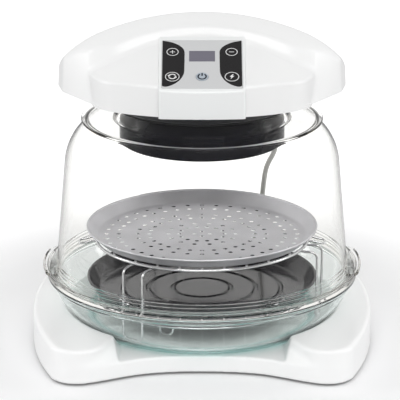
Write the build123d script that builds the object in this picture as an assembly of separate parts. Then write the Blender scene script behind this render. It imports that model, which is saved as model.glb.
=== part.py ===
from build123d import *
import math
import os

# Halogen oven: a white tray carries a glass bowl with a low rack, a liner pan, a high rack and a
# perforated pan; a clear dome stands on the bowl's rim and the powered head drops into its neck.
# Frame: +Z up, front towards -Y, origin under the middle of the tray on the surface it stands on.

# ---- clearances ----
rest_gap = 0.3            # between pieces that lift apart
fit_gap = 0.2             # between moulded pieces that seat in each other
shaft_gap = 0.05          # radial, motor shaft in its bearings
weld_sink = 0.3           # how far resistance-welded wires sink into each other

# ---- tray ----
foot_height = 3.0
foot_radius = 12.0
foot_recess = 2.0
foot_x = 152.0
foot_y = 160.0
tray_half_width = 222.0
tray_front_edge = 153.0
tray_flank_x = 80.0
tray_flank_y = 164.0
tray_corner_x = 157.0
tray_corner_y = 160.0
tray_corner_radius = 36.0
tray_wall = 3.0
tray_floor_height = 22.0
tray_lobe_height = 45.0
tray_lean_edge = 125.0    # the lobes' top edge, set back beside the notches
tray_lean_x = 108.0
tray_lean_y = 141.0
tray_edge_round = 4.0
tray_round_steps = 3
notch_half_width = 105.0
notch_flare = 9.0
rib_wall = 2.5
rib_drop = 13.0
boss_radius = 8.0
foot_screw_radius = 1.8
foot_screw_head = 3.8
foot_screw_length = 14.0

# ---- bowl ----
bowl_floor_radius = 150.0
bowl_belly_radius = 178.5
bowl_belly_rise = 22.7
bowl_mouth_radius = 196.5
bowl_mouth_rise = 58.7
bowl_rim_radius = 202.5
bowl_rim_rise = 6.0       # from the mouth's widest line to the rim's top
bowl_rim_thickness = 4.0
bowl_wall = 5.5
bowl_seat_gap = 1.2

# ---- low rack and liner ----
rack_ring_wire = 2.0      # wire radii
rack_bar_wire = 1.5
low_ring_radius = 136.0
low_inner_ring_radius = 108.0
low_rack_height = 28.9    # bar tops above the bowl's floor
low_foot_width = 19.0
low_foot_angles = (-115.0, 5.0, 125.0)
bar_pitch = 28.0
bar_count = 9
liner_floor_radius = 136.0
liner_rim_radius = 151.0
liner_depth = 24.0
liner_sheet = 1.6
liner_bead = 1.6
groove_radii = (38.0, 71.0, 104.0)
groove_width = 3.2
groove_depth = 0.8
groove_arc = 156.0

# ---- high rack and pan ----
high_ring_radius = 145.0
high_rack_height = 103.7  # ring's top above the bowl's floor
high_leg_radius = 158.0
high_leg_width = 26.0
high_leg_angles = (-131.0, -11.0, 109.0)
rack_handle_reach = 161.0
rack_handle_width = 18.0
rack_handle_drop = 4.0
pan_floor_radius = 133.0
pan_rim_radius = 151.0
pan_depth = 15.3
pan_sheet = 1.0
pan_bead = 1.5
pan_hole_radius = 2.3
pan_hole_rings = ((10.0, 4), (30.0, 14), (44.0, 14), (69.0, 28), (84.0, 28), (109.0, 40), (125.0, 40))

# ---- dome ----
dome_wall = 3.0
dome_overhang = 0.5       # the flange past the bowl's rim
dome_flange_thickness = 4.0
dome_lip_depth = 6.0
dome_lip_gap = 0.7
dome_edge_height = 8.7
dome_foot_radius = 191.0
dome_shoulder_radius = 178.0
dome_shoulder_rise = 150.0
dome_crown_radius = 150.0
dome_crown_rise = 201.0
dome_collar_radius = 156.0
dome_collar_rise = 205.0
neck_radius = 114.0
neck_height = 20.0
ear_stand = 5.5           # the ears past the flange
ear_span = 26.0
ear_height = 16.0

# ---- head, outside ----
seal_thickness = 2.4
seal_width = 7.0
vent_ring_radius = 118.0
vent_ring_height = 10.0
vent_tooth_count = 48
vent_tooth_depth = 4.0
head_wall = 3.0
head_tip_half = 188.0     # half width across the tips of the wing
head_tip_y = 45.0
head_rear_y = 130.0
head_front_tip = (180.0, 5.0)
head_corner = (137.0, -62.0)
head_top_tip = (175.0, 20.0)
head_top_corner = (112.0, -20.0)
head_top_rear_draft = 4.0
crown_axis_y = 15.0
crown_axis_rise = -40.0   # axis of the crown below the head's bottom plane
crown_peak_rise = 100.0
crown_shoulder = (129.0, 75.0)
crown_tip = (188.0, 32.0)
bulge_half_width = 142.0
bulge_front_y = 124.0
bulge_arc_radius = 225.0
bulge_corner = 30.0
bulge_front_rise = 37.0
bulge_front_side_rise = 26.0
bulge_back_y = 32.0
bulge_back_rise = 81.0
bulge_back_side_rise = 33.0

# ---- control fascia ----
fascia_half_width = 54.0
fascia_front_y = 130.0
fascia_front_rise = 35.5
fascia_slope = 25.5       # degrees
fascia_length = 108.0     # measured up the slope
fascia_bow = 3.0          # how far the front's middle stands ahead of its sides
fascia_wall = 2.5
fascia_corner = 4.0
fascia_top_round = 3.0
fascia_step_y = 112.0     # behind this its side walls step up over the bottom cover
overlay_half_width = 51.0
overlay_start = 11.0
overlay_length = 91.0
overlay_thickness = 0.8
overlay_corner = 3.0
dark_panel_inner = 22.0
dark_panel_outer = 49.5
dark_panel_margin = 1.5
dark_panel_round = 17.0
key_radius = 7.7
key_gap = 0.3
key_flange = 1.6
key_flange_thickness = 1.2
key_proud = 0.5
key_travel = 0.5
key_side_x = 37.0
key_upper_s = 77.0
key_lower_s = 29.0
lcd_width = 32.0
lcd_height = 20.0
lcd_s = 70.0
lcd_lip = 2.0
lcd_module_depth = 2.5
board_drop = 6.0          # keypad board's top below the panel's face
board_thickness = 1.6
board_half_width = 48.0
board_start = 12.0
board_length = 84.0
board_post_radius = 2.5
dome_switch_radius = 3.5

# ---- head, inside ----
cover_thickness = 2.5
cover_hole_radius = 62.0
cover_slot_gap = 0.4
case_post_radius = 4.5
case_posts = ((158.0, 38.0), (104.0, -74.0), (50.0, 112.0))
screw_radius = 1.6
screw_head_radius = 3.2
screw_head_height = 1.8
screw_length = 12.0
vent_slot_count = 9
vent_slot_pitch = 9.0
vent_slot_width = 3.0
vent_slot_height = 22.0
vent_slot_rise = 17.0
motor_width = 60.0
motor_depth = 50.0
motor_stack = 18.0
motor_rise = 14.0         # underside of the laminations above the head's bottom plane
motor_plate = 2.0
rotor_radius = 14.0
rotor_gap = 0.5
bracket_length = 140.0
bracket_width = 46.0
bracket_sheet = 2.0
bracket_hole = 12.0
pillar_x = 24.0
pillar_y = 19.0
pillar_radius = 3.0
supply_board = (110.0, 40.0, 70.0, 60.0)     # centre x, centre y, length, width
standoff_height = 4.5
standoff_radius = 3.2
transformer_place = (-105.0, 50.0)
transformer_size = (42.0, 35.0, 30.0)
terminal_place = (72.0, 92.0)
terminal_size = (28.0, 10.0, 12.0)

# ---- heater housing and what is in it ----
housing_radius = 100.0
housing_wall = 1.5
housing_depth = 62.0      # below the head's bottom plane
housing_flange = 12.0
housing_lip = 8.0
housing_slot_count = 12
housing_slot_width = 14.0
housing_slot_height = 4.0
housing_slot_drop = 6.0
housing_screw_ring = 109.0
housing_bead_drops = (30.0, 38.0)
housing_bead_height = 3.0
housing_bead_proud = 0.8
shield_drop = 14.0
shield_sheet = 1.2
shield_hole = 6.0
dish_drop = 24.0
dish_sheet = 1.0
dish_flat = 68.0
dish_skirt = 92.0
dish_depth = 18.0
dish_hole = 8.0
tube_ring_radius = 76.0
tube_radius = 5.0
tube_drop = 46.0
tube_gap_angle = 40.0
tube_cap_angle = 12.0
tube_cap_radius = 7.0
tube_clip_angles = (190.0, 270.0, 350.0)
tube_clip_width = 6.0
tube_clip_sheet = 0.8
probe_radius = 2.5
probe_place = (64.5, 225.0)     # distance from the axis, direction
probe_length = 22.0
fuse_place = (50.0, 60.0)
fuse_radius = 2.2
fuse_length = 14.0
grille_thickness = 1.2
grille_rings = (14.0, 27.5, 41.0, 54.5, 68.0, 81.5)
grille_ring_width = 2.5
grille_spokes = 6
grille_spoke_width = 3.0
grille_rim = 8.0
grille_screw_radius = 1.4

# ---- fans and shaft ----
shaft_radius = 3.0
shaft_low_drop = 56.0
shaft_high_rise = 40.0
fan_radius = 58.0
fan_blade_count = 8
fan_blade_height = 11.0
fan_blade_sheet = 1.2
fan_hub_radius = 9.0
fan_disc_drop = 38.5      # underside of the disc that carries the blades
cooling_fan_radius = 50.0
cooling_blade_count = 9
cooling_blade_height = 9.0
cooling_fan_drop = 11.5
cooling_hub_radius = 8.0
fan_nut_height = 3.5

# ---- cord ----
cord_radius = 3.5
gland_x = 74.0
gland_rise = 17.0
gland_length = 33.0
gland_inner = 6.0
gland_collar = 9.0
gland_root = 8.0
gland_tip = 5.0
coil_x = 20.0
coil_y = 257.0
coil_mid_radius = 38.0
coil_width = 14.4
coil_height = 14.2
coil_lift = 1.0           # room for the tie under the coil
tie_width = 8.0
tie_sheet = 0.7
tie_gap = 0.2
tie_angle = 40.0
tail_angle = 240.0        # where the cord's end leaves the coil for the plug
tail_length = 40.0
plug_relief = 13.0
plug_length = 34.0
plug_width = 26.0
plug_height = 18.0
blade_length = 17.0
blade_width = 6.3
blade_sheet = 1.5
blade_pitch = 12.7

# ---- heights that follow from the stack ----
tray_floor_top = foot_height + tray_floor_height
tray_top = foot_height + tray_lobe_height
bowl_base = tray_floor_top + rest_gap
bowl_floor_top = bowl_base + bowl_wall
bowl_rim_top = bowl_base + bowl_mouth_rise + bowl_rim_rise
low_bar_top = bowl_floor_top + low_rack_height
liner_base = low_bar_top + rest_gap
high_ring_top = bowl_floor_top + high_rack_height
high_bar_top = high_ring_top + 2 * rack_bar_wire - weld_sink
pan_base = high_bar_top + rest_gap
dome_base = bowl_rim_top + rest_gap
dome_flange_radius = bowl_rim_radius + dome_overhang
ear_reach = dome_flange_radius + ear_stand
neck_top = dome_base + dome_collar_rise + neck_height
seal_base = neck_top + rest_gap
head_base = seal_base + seal_thickness + rest_gap + vent_ring_height
cover_top = head_base + cover_thickness


def lathe(*points):
    """Solid turned about Z from a closed outline of (radius, height) points."""
    outline = Polyline(*[(r, 0, z) for r, z in points], close=True)
    return revolve(make_face(outline), Axis.Z)


def lathe_edges(edges):
    return revolve(make_face(Curve() + edges), Axis.Z)


def rz(radius, height):
    return (radius, 0, height)


def pipe(points, bend, radius):
    """Round wire along straight runs joined by bends."""
    path = FilletPolyline(*points, radius=bend)
    return sweep(Plane(origin=path @ 0, z_dir=path % 0) * Circle(radius), path=path)


def around(angles, shape):
    return [Rot(0, 0, angle) * shape for angle in angles]


def group(shapes):
    return Compound(children=list(shapes))


def circle_through(a, b, c):
    """Centre and radius of the circle through three (x, y) points."""
    ax, ay = a
    bx, by = b
    cx, cy = c
    d = 2 * (ax * (by - cy) + bx * (cy - ay) + cx * (ay - by))
    aa = ax * ax + ay * ay
    bb = bx * bx + by * by
    cc = cx * cx + cy * cy
    ux = (aa * (by - cy) + bb * (cy - ay) + cc * (ay - by)) / d
    uy = (aa * (cx - bx) + bb * (ax - cx) + cc * (bx - ax)) / d
    return ux, uy, math.hypot(ax - ux, ay - uy)


# ---------------- tray ----------------

def tray_outline(middle, flank, corner_start, inset, height):
    """Plan of the tray: bowed sides, round corners, hollowed front and back edges."""
    radius = tray_corner_radius - inset
    corner_end = -20.0

    def on_corner(angle):
        turn = math.radians(angle)
        return (tray_corner_x + radius * math.cos(turn), -tray_corner_y + radius * math.sin(turn))

    start = on_corner(corner_start)
    halfway = on_corner((corner_start + corner_end) / 2)
    end = on_corner(corner_end)
    lean = math.radians(corner_start)
    way = (-math.sin(lean), math.cos(lean))
    side = tray_half_width - inset
    flank_x, flank_y = flank[0], -flank[1] + inset
    front = Spline(
        (-start[0], start[1]), (-flank_x, flank_y), (0, -middle + inset), (flank_x, flank_y), start,
        tangents=[(way[0], -way[1]), way])
    right_front = ThreePointArc(start, halfway, end)
    right = ThreePointArc(end, (side, 0), (end[0], -end[1]))
    right_back = mirror(right_front, Plane.XZ)
    back = mirror(front, Plane.XZ)
    left_back = mirror(right_back, Plane.YZ)
    left = mirror(right, Plane.YZ)
    left_front = mirror(right_front, Plane.YZ)
    edges = Curve() + [front, right_front, right, right_back, back, left_back, left, left_front]
    return Pos(0, 0, height) * make_face(edges)


def tray_form(inset):
    """Lower part upright, upper part leaning back beside the notches, top edge rounded."""
    low = (tray_front_edge, (tray_flank_x, tray_flank_y), -110.0)
    high = (tray_lean_edge, (tray_lean_x, tray_lean_y), -143.0)
    foot = tray_outline(*low, inset, foot_height)
    sections = [tray_outline(*low, inset, tray_floor_top)]
    for step in range(tray_round_steps + 1):
        turn = math.radians(90 * step / tray_round_steps)
        back = inset + tray_edge_round * (1 - math.cos(turn))
        rise = tray_edge_round * (math.sin(turn) - 1)
        sections.append(tray_outline(*high, back, tray_top - inset + rise))
    return extrude(foot, tray_floor_height, dir=(0, 0, 1)) + loft(sections, ruled=True)


def bowl_seat(shell, floor):
    """Space that the bowl takes in the tray, grown outwards by the shell thickness."""
    grow = bowl_seat_gap + shell
    low = rz(bowl_floor_radius + grow, floor)
    belly = rz(bowl_belly_radius + grow, bowl_base + bowl_belly_rise - shell / 2)
    mouth = rz(bowl_mouth_radius + grow, bowl_base + bowl_mouth_rise)
    arc = ThreePointArc(low, belly, mouth)
    closing = Polyline(mouth, rz(0, bowl_base + bowl_mouth_rise), rz(0, floor), low)
    return lathe_edges([arc, closing])


def notch(shell, floor):
    """Front and back gaps between the lobes, wider at the top."""
    top = tray_top + 6.0
    low = notch_half_width + shell
    high = notch_half_width + notch_flare + shell
    outline = Polyline((-low, floor), (low, floor), (high, top), (-high, top), close=True)
    return extrude(Plane.XZ * make_face(outline), 260.0, both=True)


def make_tray():
    outer = tray_form(0)
    skin_floor = tray_floor_top - tray_wall
    hollow = tray_form(tray_wall)
    hollow = hollow - bowl_seat(tray_wall, skin_floor) - notch(tray_wall, skin_floor)
    tray = outer - bowl_seat(0, tray_floor_top) - notch(0, tray_floor_top) - hollow
    rib_z = skin_floor - rib_drop / 2
    ribs = Pos(0, 0, rib_z) * Box(2 * tray_half_width, rib_wall, rib_drop)
    ribs += Pos(0, 0, rib_z) * Box(rib_wall, 2 * tray_half_width, rib_drop)
    ribs += Pos(0, 0, rib_z) * (Cylinder(80, rib_drop) - Cylinder(80 - rib_wall, rib_drop))
    tray += ribs & hollow
    seat = foot_height + foot_recess
    boss = extrude(Pos(0, 0, seat) * Circle(boss_radius), tray_top - seat - tray_wall / 2)
    hole = extrude(Pos(0, 0, seat) * Circle(foot_screw_radius), foot_screw_length)
    for place in foot_places():
        tray += (place * boss) & outer
    for place in foot_places():
        tray -= place * hole
    return tray


def foot_places():
    return [Pos(x, y, 0) for x in (-foot_x, foot_x) for y in (-foot_y, foot_y)]


def make_feet():
    foot = extrude(Circle(foot_radius) - Circle(foot_screw_radius), foot_height + foot_recess)
    foot = chamfer(foot.edges().group_by(Axis.Z)[0].sort_by(SortBy.LENGTH)[-1], 0.8)
    foot -= extrude(Circle(foot_screw_head + fit_gap), foot_recess)
    return group([place * foot for place in foot_places()])


def make_foot_screws():
    head = Pos(0, 0, 0.4) * extrude(Circle(foot_screw_head), foot_recess - 0.4)
    shank_length = foot_height + foot_screw_length - 1.0
    shank = Pos(0, 0, foot_recess) * extrude(Circle(foot_screw_radius - shaft_gap), shank_length)
    return group([place * (head + shank) for place in foot_places()])


# ---------------- bowl ----------------

def bowl_inner_points():
    low = (bowl_floor_radius - 3.0, bowl_floor_top)
    belly = (bowl_belly_radius - bowl_wall, bowl_base + bowl_belly_rise + 1.8)
    mouth = (bowl_mouth_radius - bowl_wall, bowl_base + bowl_mouth_rise)
    return low, belly, mouth


def make_bowl():
    low = rz(bowl_floor_radius, bowl_base)
    belly = rz(bowl_belly_radius, bowl_base + bowl_belly_rise)
    mouth = rz(bowl_mouth_radius, bowl_base + bowl_mouth_rise)
    inner_low, inner_belly, inner_mouth = [rz(*p) for p in bowl_inner_points()]
    rim_inner = inner_mouth[0] + 0.5
    rim = Polyline(
        mouth, rz(bowl_rim_radius, bowl_rim_top - bowl_rim_thickness),
        rz(bowl_rim_radius, bowl_rim_top), rz(rim_inner, bowl_rim_top), inner_mouth)
    edges = [
        ThreePointArc(low, belly, mouth), rim,
        ThreePointArc(inner_mouth, inner_belly, inner_low),
        Polyline(inner_low, rz(0, bowl_floor_top), rz(0, bowl_base), low)]
    return lathe_edges(edges)


# ---------------- racks ----------------

def bars(ring_radius, height):
    """Parallel wires under or over a ring, each as long as its chord."""
    wires = []
    for index in range(bar_count):
        x = (index - (bar_count - 1) / 2) * bar_pitch
        half = math.sqrt((ring_radius + rack_ring_wire) ** 2 - x * x)
        wires.append(Pos(x, 0, height) * Rot(90, 0, 0) * Cylinder(rack_bar_wire, 2 * half))
    return group(wires)


def low_bar_height():
    return low_bar_top - rack_bar_wire


def make_low_rings():
    outer = low_bar_height() - rack_bar_wire - rack_ring_wire + weld_sink
    inner = low_bar_height() - 2 * rack_bar_wire + weld_sink
    return group([
        Pos(0, 0, outer) * Torus(low_ring_radius, rack_ring_wire),
        Pos(0, 0, inner) * Torus(low_inner_ring_radius, rack_bar_wire)])


def make_low_feet():
    top = low_bar_height() - 3 * rack_bar_wire + 2 * weld_sink
    sole = bowl_floor_top + rest_gap + rack_bar_wire
    half = low_foot_width / 2
    radius = low_inner_ring_radius
    points = [(radius, -half, top), (radius, -half, sole), (radius, half, sole), (radius, half, top)]
    return group(around(low_foot_angles, pipe(points, 6.0, rack_bar_wire)))


def high_wire_height():
    """Centre height of the wires welded under the high rack's ring."""
    return high_ring_top - 2 * rack_ring_wire - rack_bar_wire + weld_sink


def leg_sole():
    """Height of a leg wire's lowest centre line, just clear of the bowl's curved wall."""
    cx, cz, radius = circle_through(*bowl_inner_points())
    reach = radius - rack_bar_wire - rest_gap
    return cz - math.sqrt(reach ** 2 - (high_leg_radius - cx) ** 2)


def make_high_legs():
    top = high_wire_height()
    half = high_leg_width / 2
    inner = high_ring_radius - 6.0
    points = [
        (inner, -half, top), (high_leg_radius, -half, top), (high_leg_radius, -half, leg_sole()),
        (high_leg_radius, half, leg_sole()), (high_leg_radius, half, top), (inner, half, top)]
    return group(around(high_leg_angles, pipe(points, 6.0, rack_bar_wire)))


def make_rack_handles():
    top = high_wire_height()
    half = rack_handle_width / 2
    inner = high_ring_radius - 4.0
    low = top - rack_handle_drop
    points = [
        (inner, -half, top), (high_ring_radius + 6.0, -half, top), (rack_handle_reach, -half, low),
        (rack_handle_reach, half, low), (high_ring_radius + 6.0, half, top), (inner, half, top)]
    return group(around((0.0, 180.0), pipe(points, 4.0, rack_bar_wire)))


def make_liner():
    z = liner_base
    wall_foot = liner_floor_radius + 2.5
    lip = liner_rim_radius - liner_bead
    pan = lathe(
        (0, z), (liner_floor_radius - 4, z), (liner_floor_radius, z + 1.2), (wall_foot, z + 5),
        (lip, z + liner_depth - liner_bead), (lip, z + liner_depth),
        (lip - liner_sheet, z + liner_depth), (wall_foot - liner_sheet, z + 6),
        (liner_floor_radius - liner_sheet, z + 2.6), (liner_floor_radius - 5, z + liner_sheet),
        (0, z + liner_sheet))
    pan += Pos(0, 0, z + liner_depth - liner_bead) * Torus(liner_rim_radius - liner_bead, liner_bead)
    for radius in groove_radii:
        inner = radius - groove_width / 2
        outer = radius + groove_width / 2
        top = z + liner_sheet
        outline = Polyline(
            rz(inner, top + 1), rz(inner, top - groove_depth), rz(outer, top - groove_depth),
            rz(outer, top + 1), close=True)
        cut = revolve(make_face(outline), Axis.Z, groove_arc)
        for start in (90 - groove_arc / 2, 270 - groove_arc / 2):
            pan -= Rot(0, 0, start) * cut
    return pan


def make_pan():
    z = pan_base
    lip = pan_rim_radius - pan_bead
    pan = lathe(
        (0, z), (pan_floor_radius, z), (lip, z + pan_depth - pan_bead), (lip, z + pan_depth),
        (lip - pan_sheet, z + pan_depth), (pan_floor_radius - pan_sheet / 2, z + pan_sheet),
        (0, z + pan_sheet))
    pan += Pos(0, 0, z + pan_depth - pan_bead) * Torus(lip, pan_bead)
    holes = Sketch()
    for radius, count in pan_hole_rings:
        holes += PolarLocations(radius, count) * Circle(pan_hole_radius)
    return pan - Pos(0, 0, z - 1) * extrude(holes, pan_sheet + 2)


# ---------------- dome ----------------

def make_dome():
    z = dome_base
    lip_outer = bowl_mouth_radius - bowl_wall + 0.5 - dome_lip_gap
    lip_inner = lip_outer - dome_wall
    edge_inner = dome_flange_radius - 2.5
    flange_top = z + dome_flange_thickness
    foot = rz(dome_foot_radius, flange_top)
    shoulder = rz(dome_shoulder_radius, z + dome_shoulder_rise)
    crown = rz(dome_crown_radius, z + dome_crown_rise)
    wall_way = Vector(*shoulder) - Vector(*foot)
    collar = z + dome_collar_rise
    inner_foot = rz(dome_foot_radius - dome_wall, flange_top)
    inner_shoulder = rz(dome_shoulder_radius - dome_wall, z + dome_shoulder_rise)
    inner_crown = rz(dome_crown_radius - dome_wall, z + dome_crown_rise)
    neck_inner = neck_radius - dome_wall
    edges = [
        Polyline(
            rz(lip_inner, z - dome_lip_depth), rz(lip_outer, z - dome_lip_depth), rz(lip_outer, z),
            rz(dome_flange_radius, z), rz(dome_flange_radius, z + dome_edge_height),
            rz(edge_inner, z + dome_edge_height), rz(edge_inner, flange_top), foot, shoulder),
        TangentArc(shoulder, crown, tangent=wall_way),
        Polyline(
            crown, rz(dome_crown_radius, collar), rz(dome_collar_radius, collar),
            rz(dome_collar_radius, collar + dome_wall), rz(neck_radius, collar + dome_wall),
            rz(neck_radius, neck_top), rz(neck_inner, neck_top), rz(neck_inner, collar),
            rz(dome_crown_radius - dome_wall, collar), inner_crown),
        TangentArc(inner_shoulder, inner_crown, tangent=wall_way),
        Polyline(inner_shoulder, inner_foot, rz(lip_inner, z - dome_lip_depth))]
    dome = lathe_edges(edges)
    tab = Polyline(
        rz(dome_foot_radius - 1, flange_top - 1), rz(dome_flange_radius, flange_top - 1),
        rz(ear_reach, z + ear_height - 5), rz(ear_reach - 0.5, z + ear_height),
        rz(ear_reach - 3.2, z + ear_height), rz(ear_reach - 3, z + ear_height - 4),
        rz(dome_flange_radius - 3, flange_top + 2), rz(dome_foot_radius - 1, flange_top + 2),
        close=True)
    web = Polyline(
        rz(dome_foot_radius - 2, flange_top), rz(ear_reach - 3, flange_top + 2),
        rz(ear_reach - 1, z + ear_height - 1), rz(dome_foot_radius - 3, z + ear_height + 11),
        close=True)
    ear = Rot(0, 0, -ear_span / 2) * revolve(make_face(tab), Axis.Z, ear_span)
    end = revolve(make_face(web), Axis.Z, 0.9)
    ear += Rot(0, 0, -ear_span / 2) * end + Rot(0, 0, ear_span / 2 - 0.9) * end
    hollow = lathe(
        (0, z - 20), (dome_foot_radius - dome_wall, z - 20), (dome_foot_radius - dome_wall, flange_top),
        (dome_shoulder_radius - dome_wall, z + dome_shoulder_rise), (0, z + dome_shoulder_rise))
    for turn in (0, 180):
        dome += Rot(0, 0, turn) * ear - hollow
    return dome


def make_seal():
    outer = neck_radius + 2.0
    ring = lathe(
        (outer - seal_width, seal_base), (outer, seal_base), (outer, seal_base + seal_thickness),
        (outer - seal_width, seal_base + seal_thickness))
    return ring


# ---------------- head shells ----------------

def wing_outline(tip, corner, corner_round, draft, inset, height):
    """Plan of the wing: bowed rear edge, blunt tips, flat front between rounded corners."""
    end = (head_tip_half - draft, head_tip_y)
    rear = ThreePointArc((-end[0], end[1]), (0, head_rear_y - draft), end)
    front = Polyline(end, tip, corner, (-corner[0], corner[1]), (-tip[0], tip[1]), (-end[0], end[1]))
    face = make_face(rear + front)
    if inset:
        face = offset(face, -inset, kind=Kind.INTERSECTION)
    rows = face.vertices().group_by(Axis.Y)
    face = fillet(rows[0], corner_round)
    rows = face.vertices().group_by(Axis.Y)
    face = fillet(rows[-1], 12.0)
    rows = [v for v in face.vertices() if abs(abs(v.X) - tip[0] + inset) < 3 and v.Y < tip[1] + 9]
    face = fillet(rows, 16.0)
    return Pos(0, 0, height) * face


def wing_form(inset):
    low = wing_outline(head_front_tip, head_corner, 30.0, 0.0, inset, head_base)
    rise = crown_peak_rise + 4.0
    high = wing_outline(
        head_top_tip, head_top_corner, 150.0, head_top_rear_draft, inset, head_base + rise)
    return loft([low, high], ruled=True) & crown_form(inset)


def crown_form(inset):
    """Crowned body turned about an axis that runs across the head."""
    def at(x, rise):
        return (x, crown_axis_y, head_base + rise)

    shoulder = at(crown_shoulder[0], crown_shoulder[1] - inset)
    left_shoulder = at(-crown_shoulder[0], crown_shoulder[1] - inset)
    tip = at(crown_tip[0] - inset, crown_tip[1] - inset)
    left_tip = at(inset - crown_tip[0], crown_tip[1] - inset)
    far = crown_tip[0] + 12.0
    top = ThreePointArc(left_shoulder, at(0, crown_peak_rise - inset), shoulder)
    right = TangentArc(shoulder, tip, tangent=top % 1)
    left = mirror(right, Plane.YZ)
    under = Polyline(
        tip, at(far, 10), at(far, crown_axis_rise), at(-far, crown_axis_rise), at(-far, 10), left_tip)
    axis = Axis(at(0, crown_axis_rise), (1, 0, 0))
    return revolve(make_face(Curve() + [top, right, left, under]), axis)


def bulge_section(y, inset):
    """Front view of the bulge at a distance in front of the middle."""
    share = (bulge_front_y - y) / (bulge_front_y - bulge_back_y)
    top = bulge_front_rise + (bulge_back_rise - bulge_front_rise) * share - inset
    side = bulge_front_side_rise + (bulge_back_side_rise - bulge_front_side_rise) * share - inset
    wide = bulge_half_width + 6.0
    arc = ThreePointArc(
        (-wide, -y, head_base + side), (0, -y, head_base + top), (wide, -y, head_base + side))
    rest = Polyline(
        (wide, -y, head_base + side), (wide, -y, head_base), (-wide, -y, head_base),
        (-wide, -y, head_base + side))
    return make_face(arc + rest)


def bulge_plan(inset):
    half = bulge_half_width - inset
    radius = bulge_arc_radius - inset
    side_y = -bulge_front_y + bulge_arc_radius - math.sqrt(radius ** 2 - half ** 2)
    front = ThreePointArc((-half, side_y), (0, -bulge_front_y + inset), (half, side_y))
    back = Polyline((half, side_y), (half, 20), (-half, 20), (-half, side_y))
    face = make_face(front + back)
    return fillet(face.vertices().group_by(Axis.Y)[0], bulge_corner - inset)


def bulge_form(inset):
    front = bulge_section(bulge_front_y + 10.0, inset)
    back = bulge_section(bulge_back_y, inset)
    slope = loft([front, back], ruled=True) + extrude(back, 52.0, dir=(0, 1, 0))
    plan = Pos(0, 0, head_base) * bulge_plan(inset)
    return slope & extrude(plan, crown_peak_rise)


def head_form(inset):
    return wing_form(inset) + bulge_form(inset)


def fascia_plan(inset):
    half = fascia_half_width - inset
    front = -fascia_front_y + inset
    arc = ThreePointArc((-half, front + fascia_bow), (0, front), (half, front + fascia_bow))
    back = Polyline((half, front + fascia_bow), (half, 0), (-half, 0), (-half, front + fascia_bow))
    face = make_face(arc + back)
    corner = max(fascia_corner - inset, 0.5)
    return fillet(face.vertices().group_by(Axis.Y)[0], corner)


def panel_plane():
    """Plane of the sloping control face: origin at its front edge, y up the slope."""
    slope = math.radians(fascia_slope)
    return Plane(
        origin=(0, -fascia_front_y, head_base + fascia_front_rise), x_dir=(1, 0, 0),
        z_dir=(0, -math.sin(slope), math.cos(slope)))


def on_panel(x, s, depth):
    """Place on the control face, s up the slope and depth below the face."""
    return panel_plane() * Pos(x, s, -depth)


def fascia_block(inset, drop):
    """Side profile of the control block pushed through its plan, its top lowered by drop."""
    slope = math.radians(fascia_slope)
    front = -fascia_front_y
    corner = fascia_front_rise - drop / math.cos(slope)
    end_y = front + fascia_length * math.cos(slope) - min(inset, 0)
    end_rise = corner + (end_y - front) * math.tan(slope)
    low = -1.0 if inset > 0 else 0.0
    side = Polyline(
        (front - 5, low), (front - 5, corner - 5 * math.tan(slope)), (end_y, end_rise),
        (end_y, low), close=True)
    prism = extrude(Plane.YZ * make_face(side), fascia_half_width + 5, both=True)
    block = extrude(Pos(0, 0, low) * fascia_plan(inset), crown_peak_rise)
    return Pos(0, 0, head_base) * (prism & block)


def key_places():
    return {
        "key_plus": (-key_side_x, key_upper_s), "key_minus": (key_side_x, key_upper_s),
        "key_cycle": (-key_side_x, key_lower_s), "key_turbo": (key_side_x, key_lower_s),
        "key_power": (0.0, key_lower_s)}


def key_holes(depth):
    hole = extrude(Circle(key_radius + key_gap), depth + 1)
    return [on_panel(x, s, depth) * hole for x, s in key_places().values()]


def overlay_form(margin, depth):
    """The inlaid film's outline, shrunk by a margin, from the face down to a depth."""
    width = 2 * (overlay_half_width - margin)
    outline = RectangleRounded(width, overlay_length - 2 * margin, overlay_corner)
    middle = overlay_start + overlay_length / 2
    return on_panel(0, middle, depth) * extrude(outline, depth)


def lcd_block(margin, high, low):
    outline = Rectangle(lcd_width - 2 * margin, lcd_height - 2 * margin)
    return on_panel(0, lcd_s, low) * extrude(outline, low - high)


def deck_bottom():
    return overlay_thickness + fascia_wall


def key_stem_bottom():
    return deck_bottom() + key_gap + key_flange_thickness


def board_posts():
    """Where the keypad board is held, between the keys and the display."""
    first = board_start + board_post_radius + 1.5
    last = board_start + board_length - board_post_radius - 1.5
    return [(x, s) for x in (-18.0, 18.0) for s in (first, (key_lower_s + key_upper_s) / 2, last)]


def make_fascia():
    outer = fascia_block(0, 0)
    front_edge = outer.edges().filter_by(lambda e: e.center().Z > head_base + fascia_front_rise - 2)
    outer = fillet(front_edge.group_by(Axis.Y)[0], fascia_top_round)
    shell = outer - fascia_block(fascia_wall, deck_bottom())
    shell -= overlay_form(-fit_gap, overlay_thickness)
    shell -= lcd_block(lcd_lip, -1, deck_bottom() + 1)
    for hole in key_holes(deck_bottom() + 1):
        shell -= hole
    step = cover_thickness + cover_slot_gap
    inside = Pos(0, -fascia_step_y / 2, head_base + step / 2) * Box(
        2 * fascia_half_width + 2, fascia_step_y, step)
    shell -= inside
    post = extrude(Circle(board_post_radius), board_drop - deck_bottom())
    for x, s in board_posts():
        shell += on_panel(x, s, board_drop) * post
    return shell


def dark_outline():
    """One dark panel: straight outer edge, inner corners swept away by large rounds."""
    width = dark_panel_outer - dark_panel_inner
    height = overlay_length - 2 * dark_panel_margin
    face = Rectangle(width, height)
    inner = face.vertices().group_by(Axis.X)[0]
    face = fillet(inner, dark_panel_round)
    outer = face.vertices().group_by(Axis.X)[-1]
    return fillet(outer, 2.0)


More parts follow.
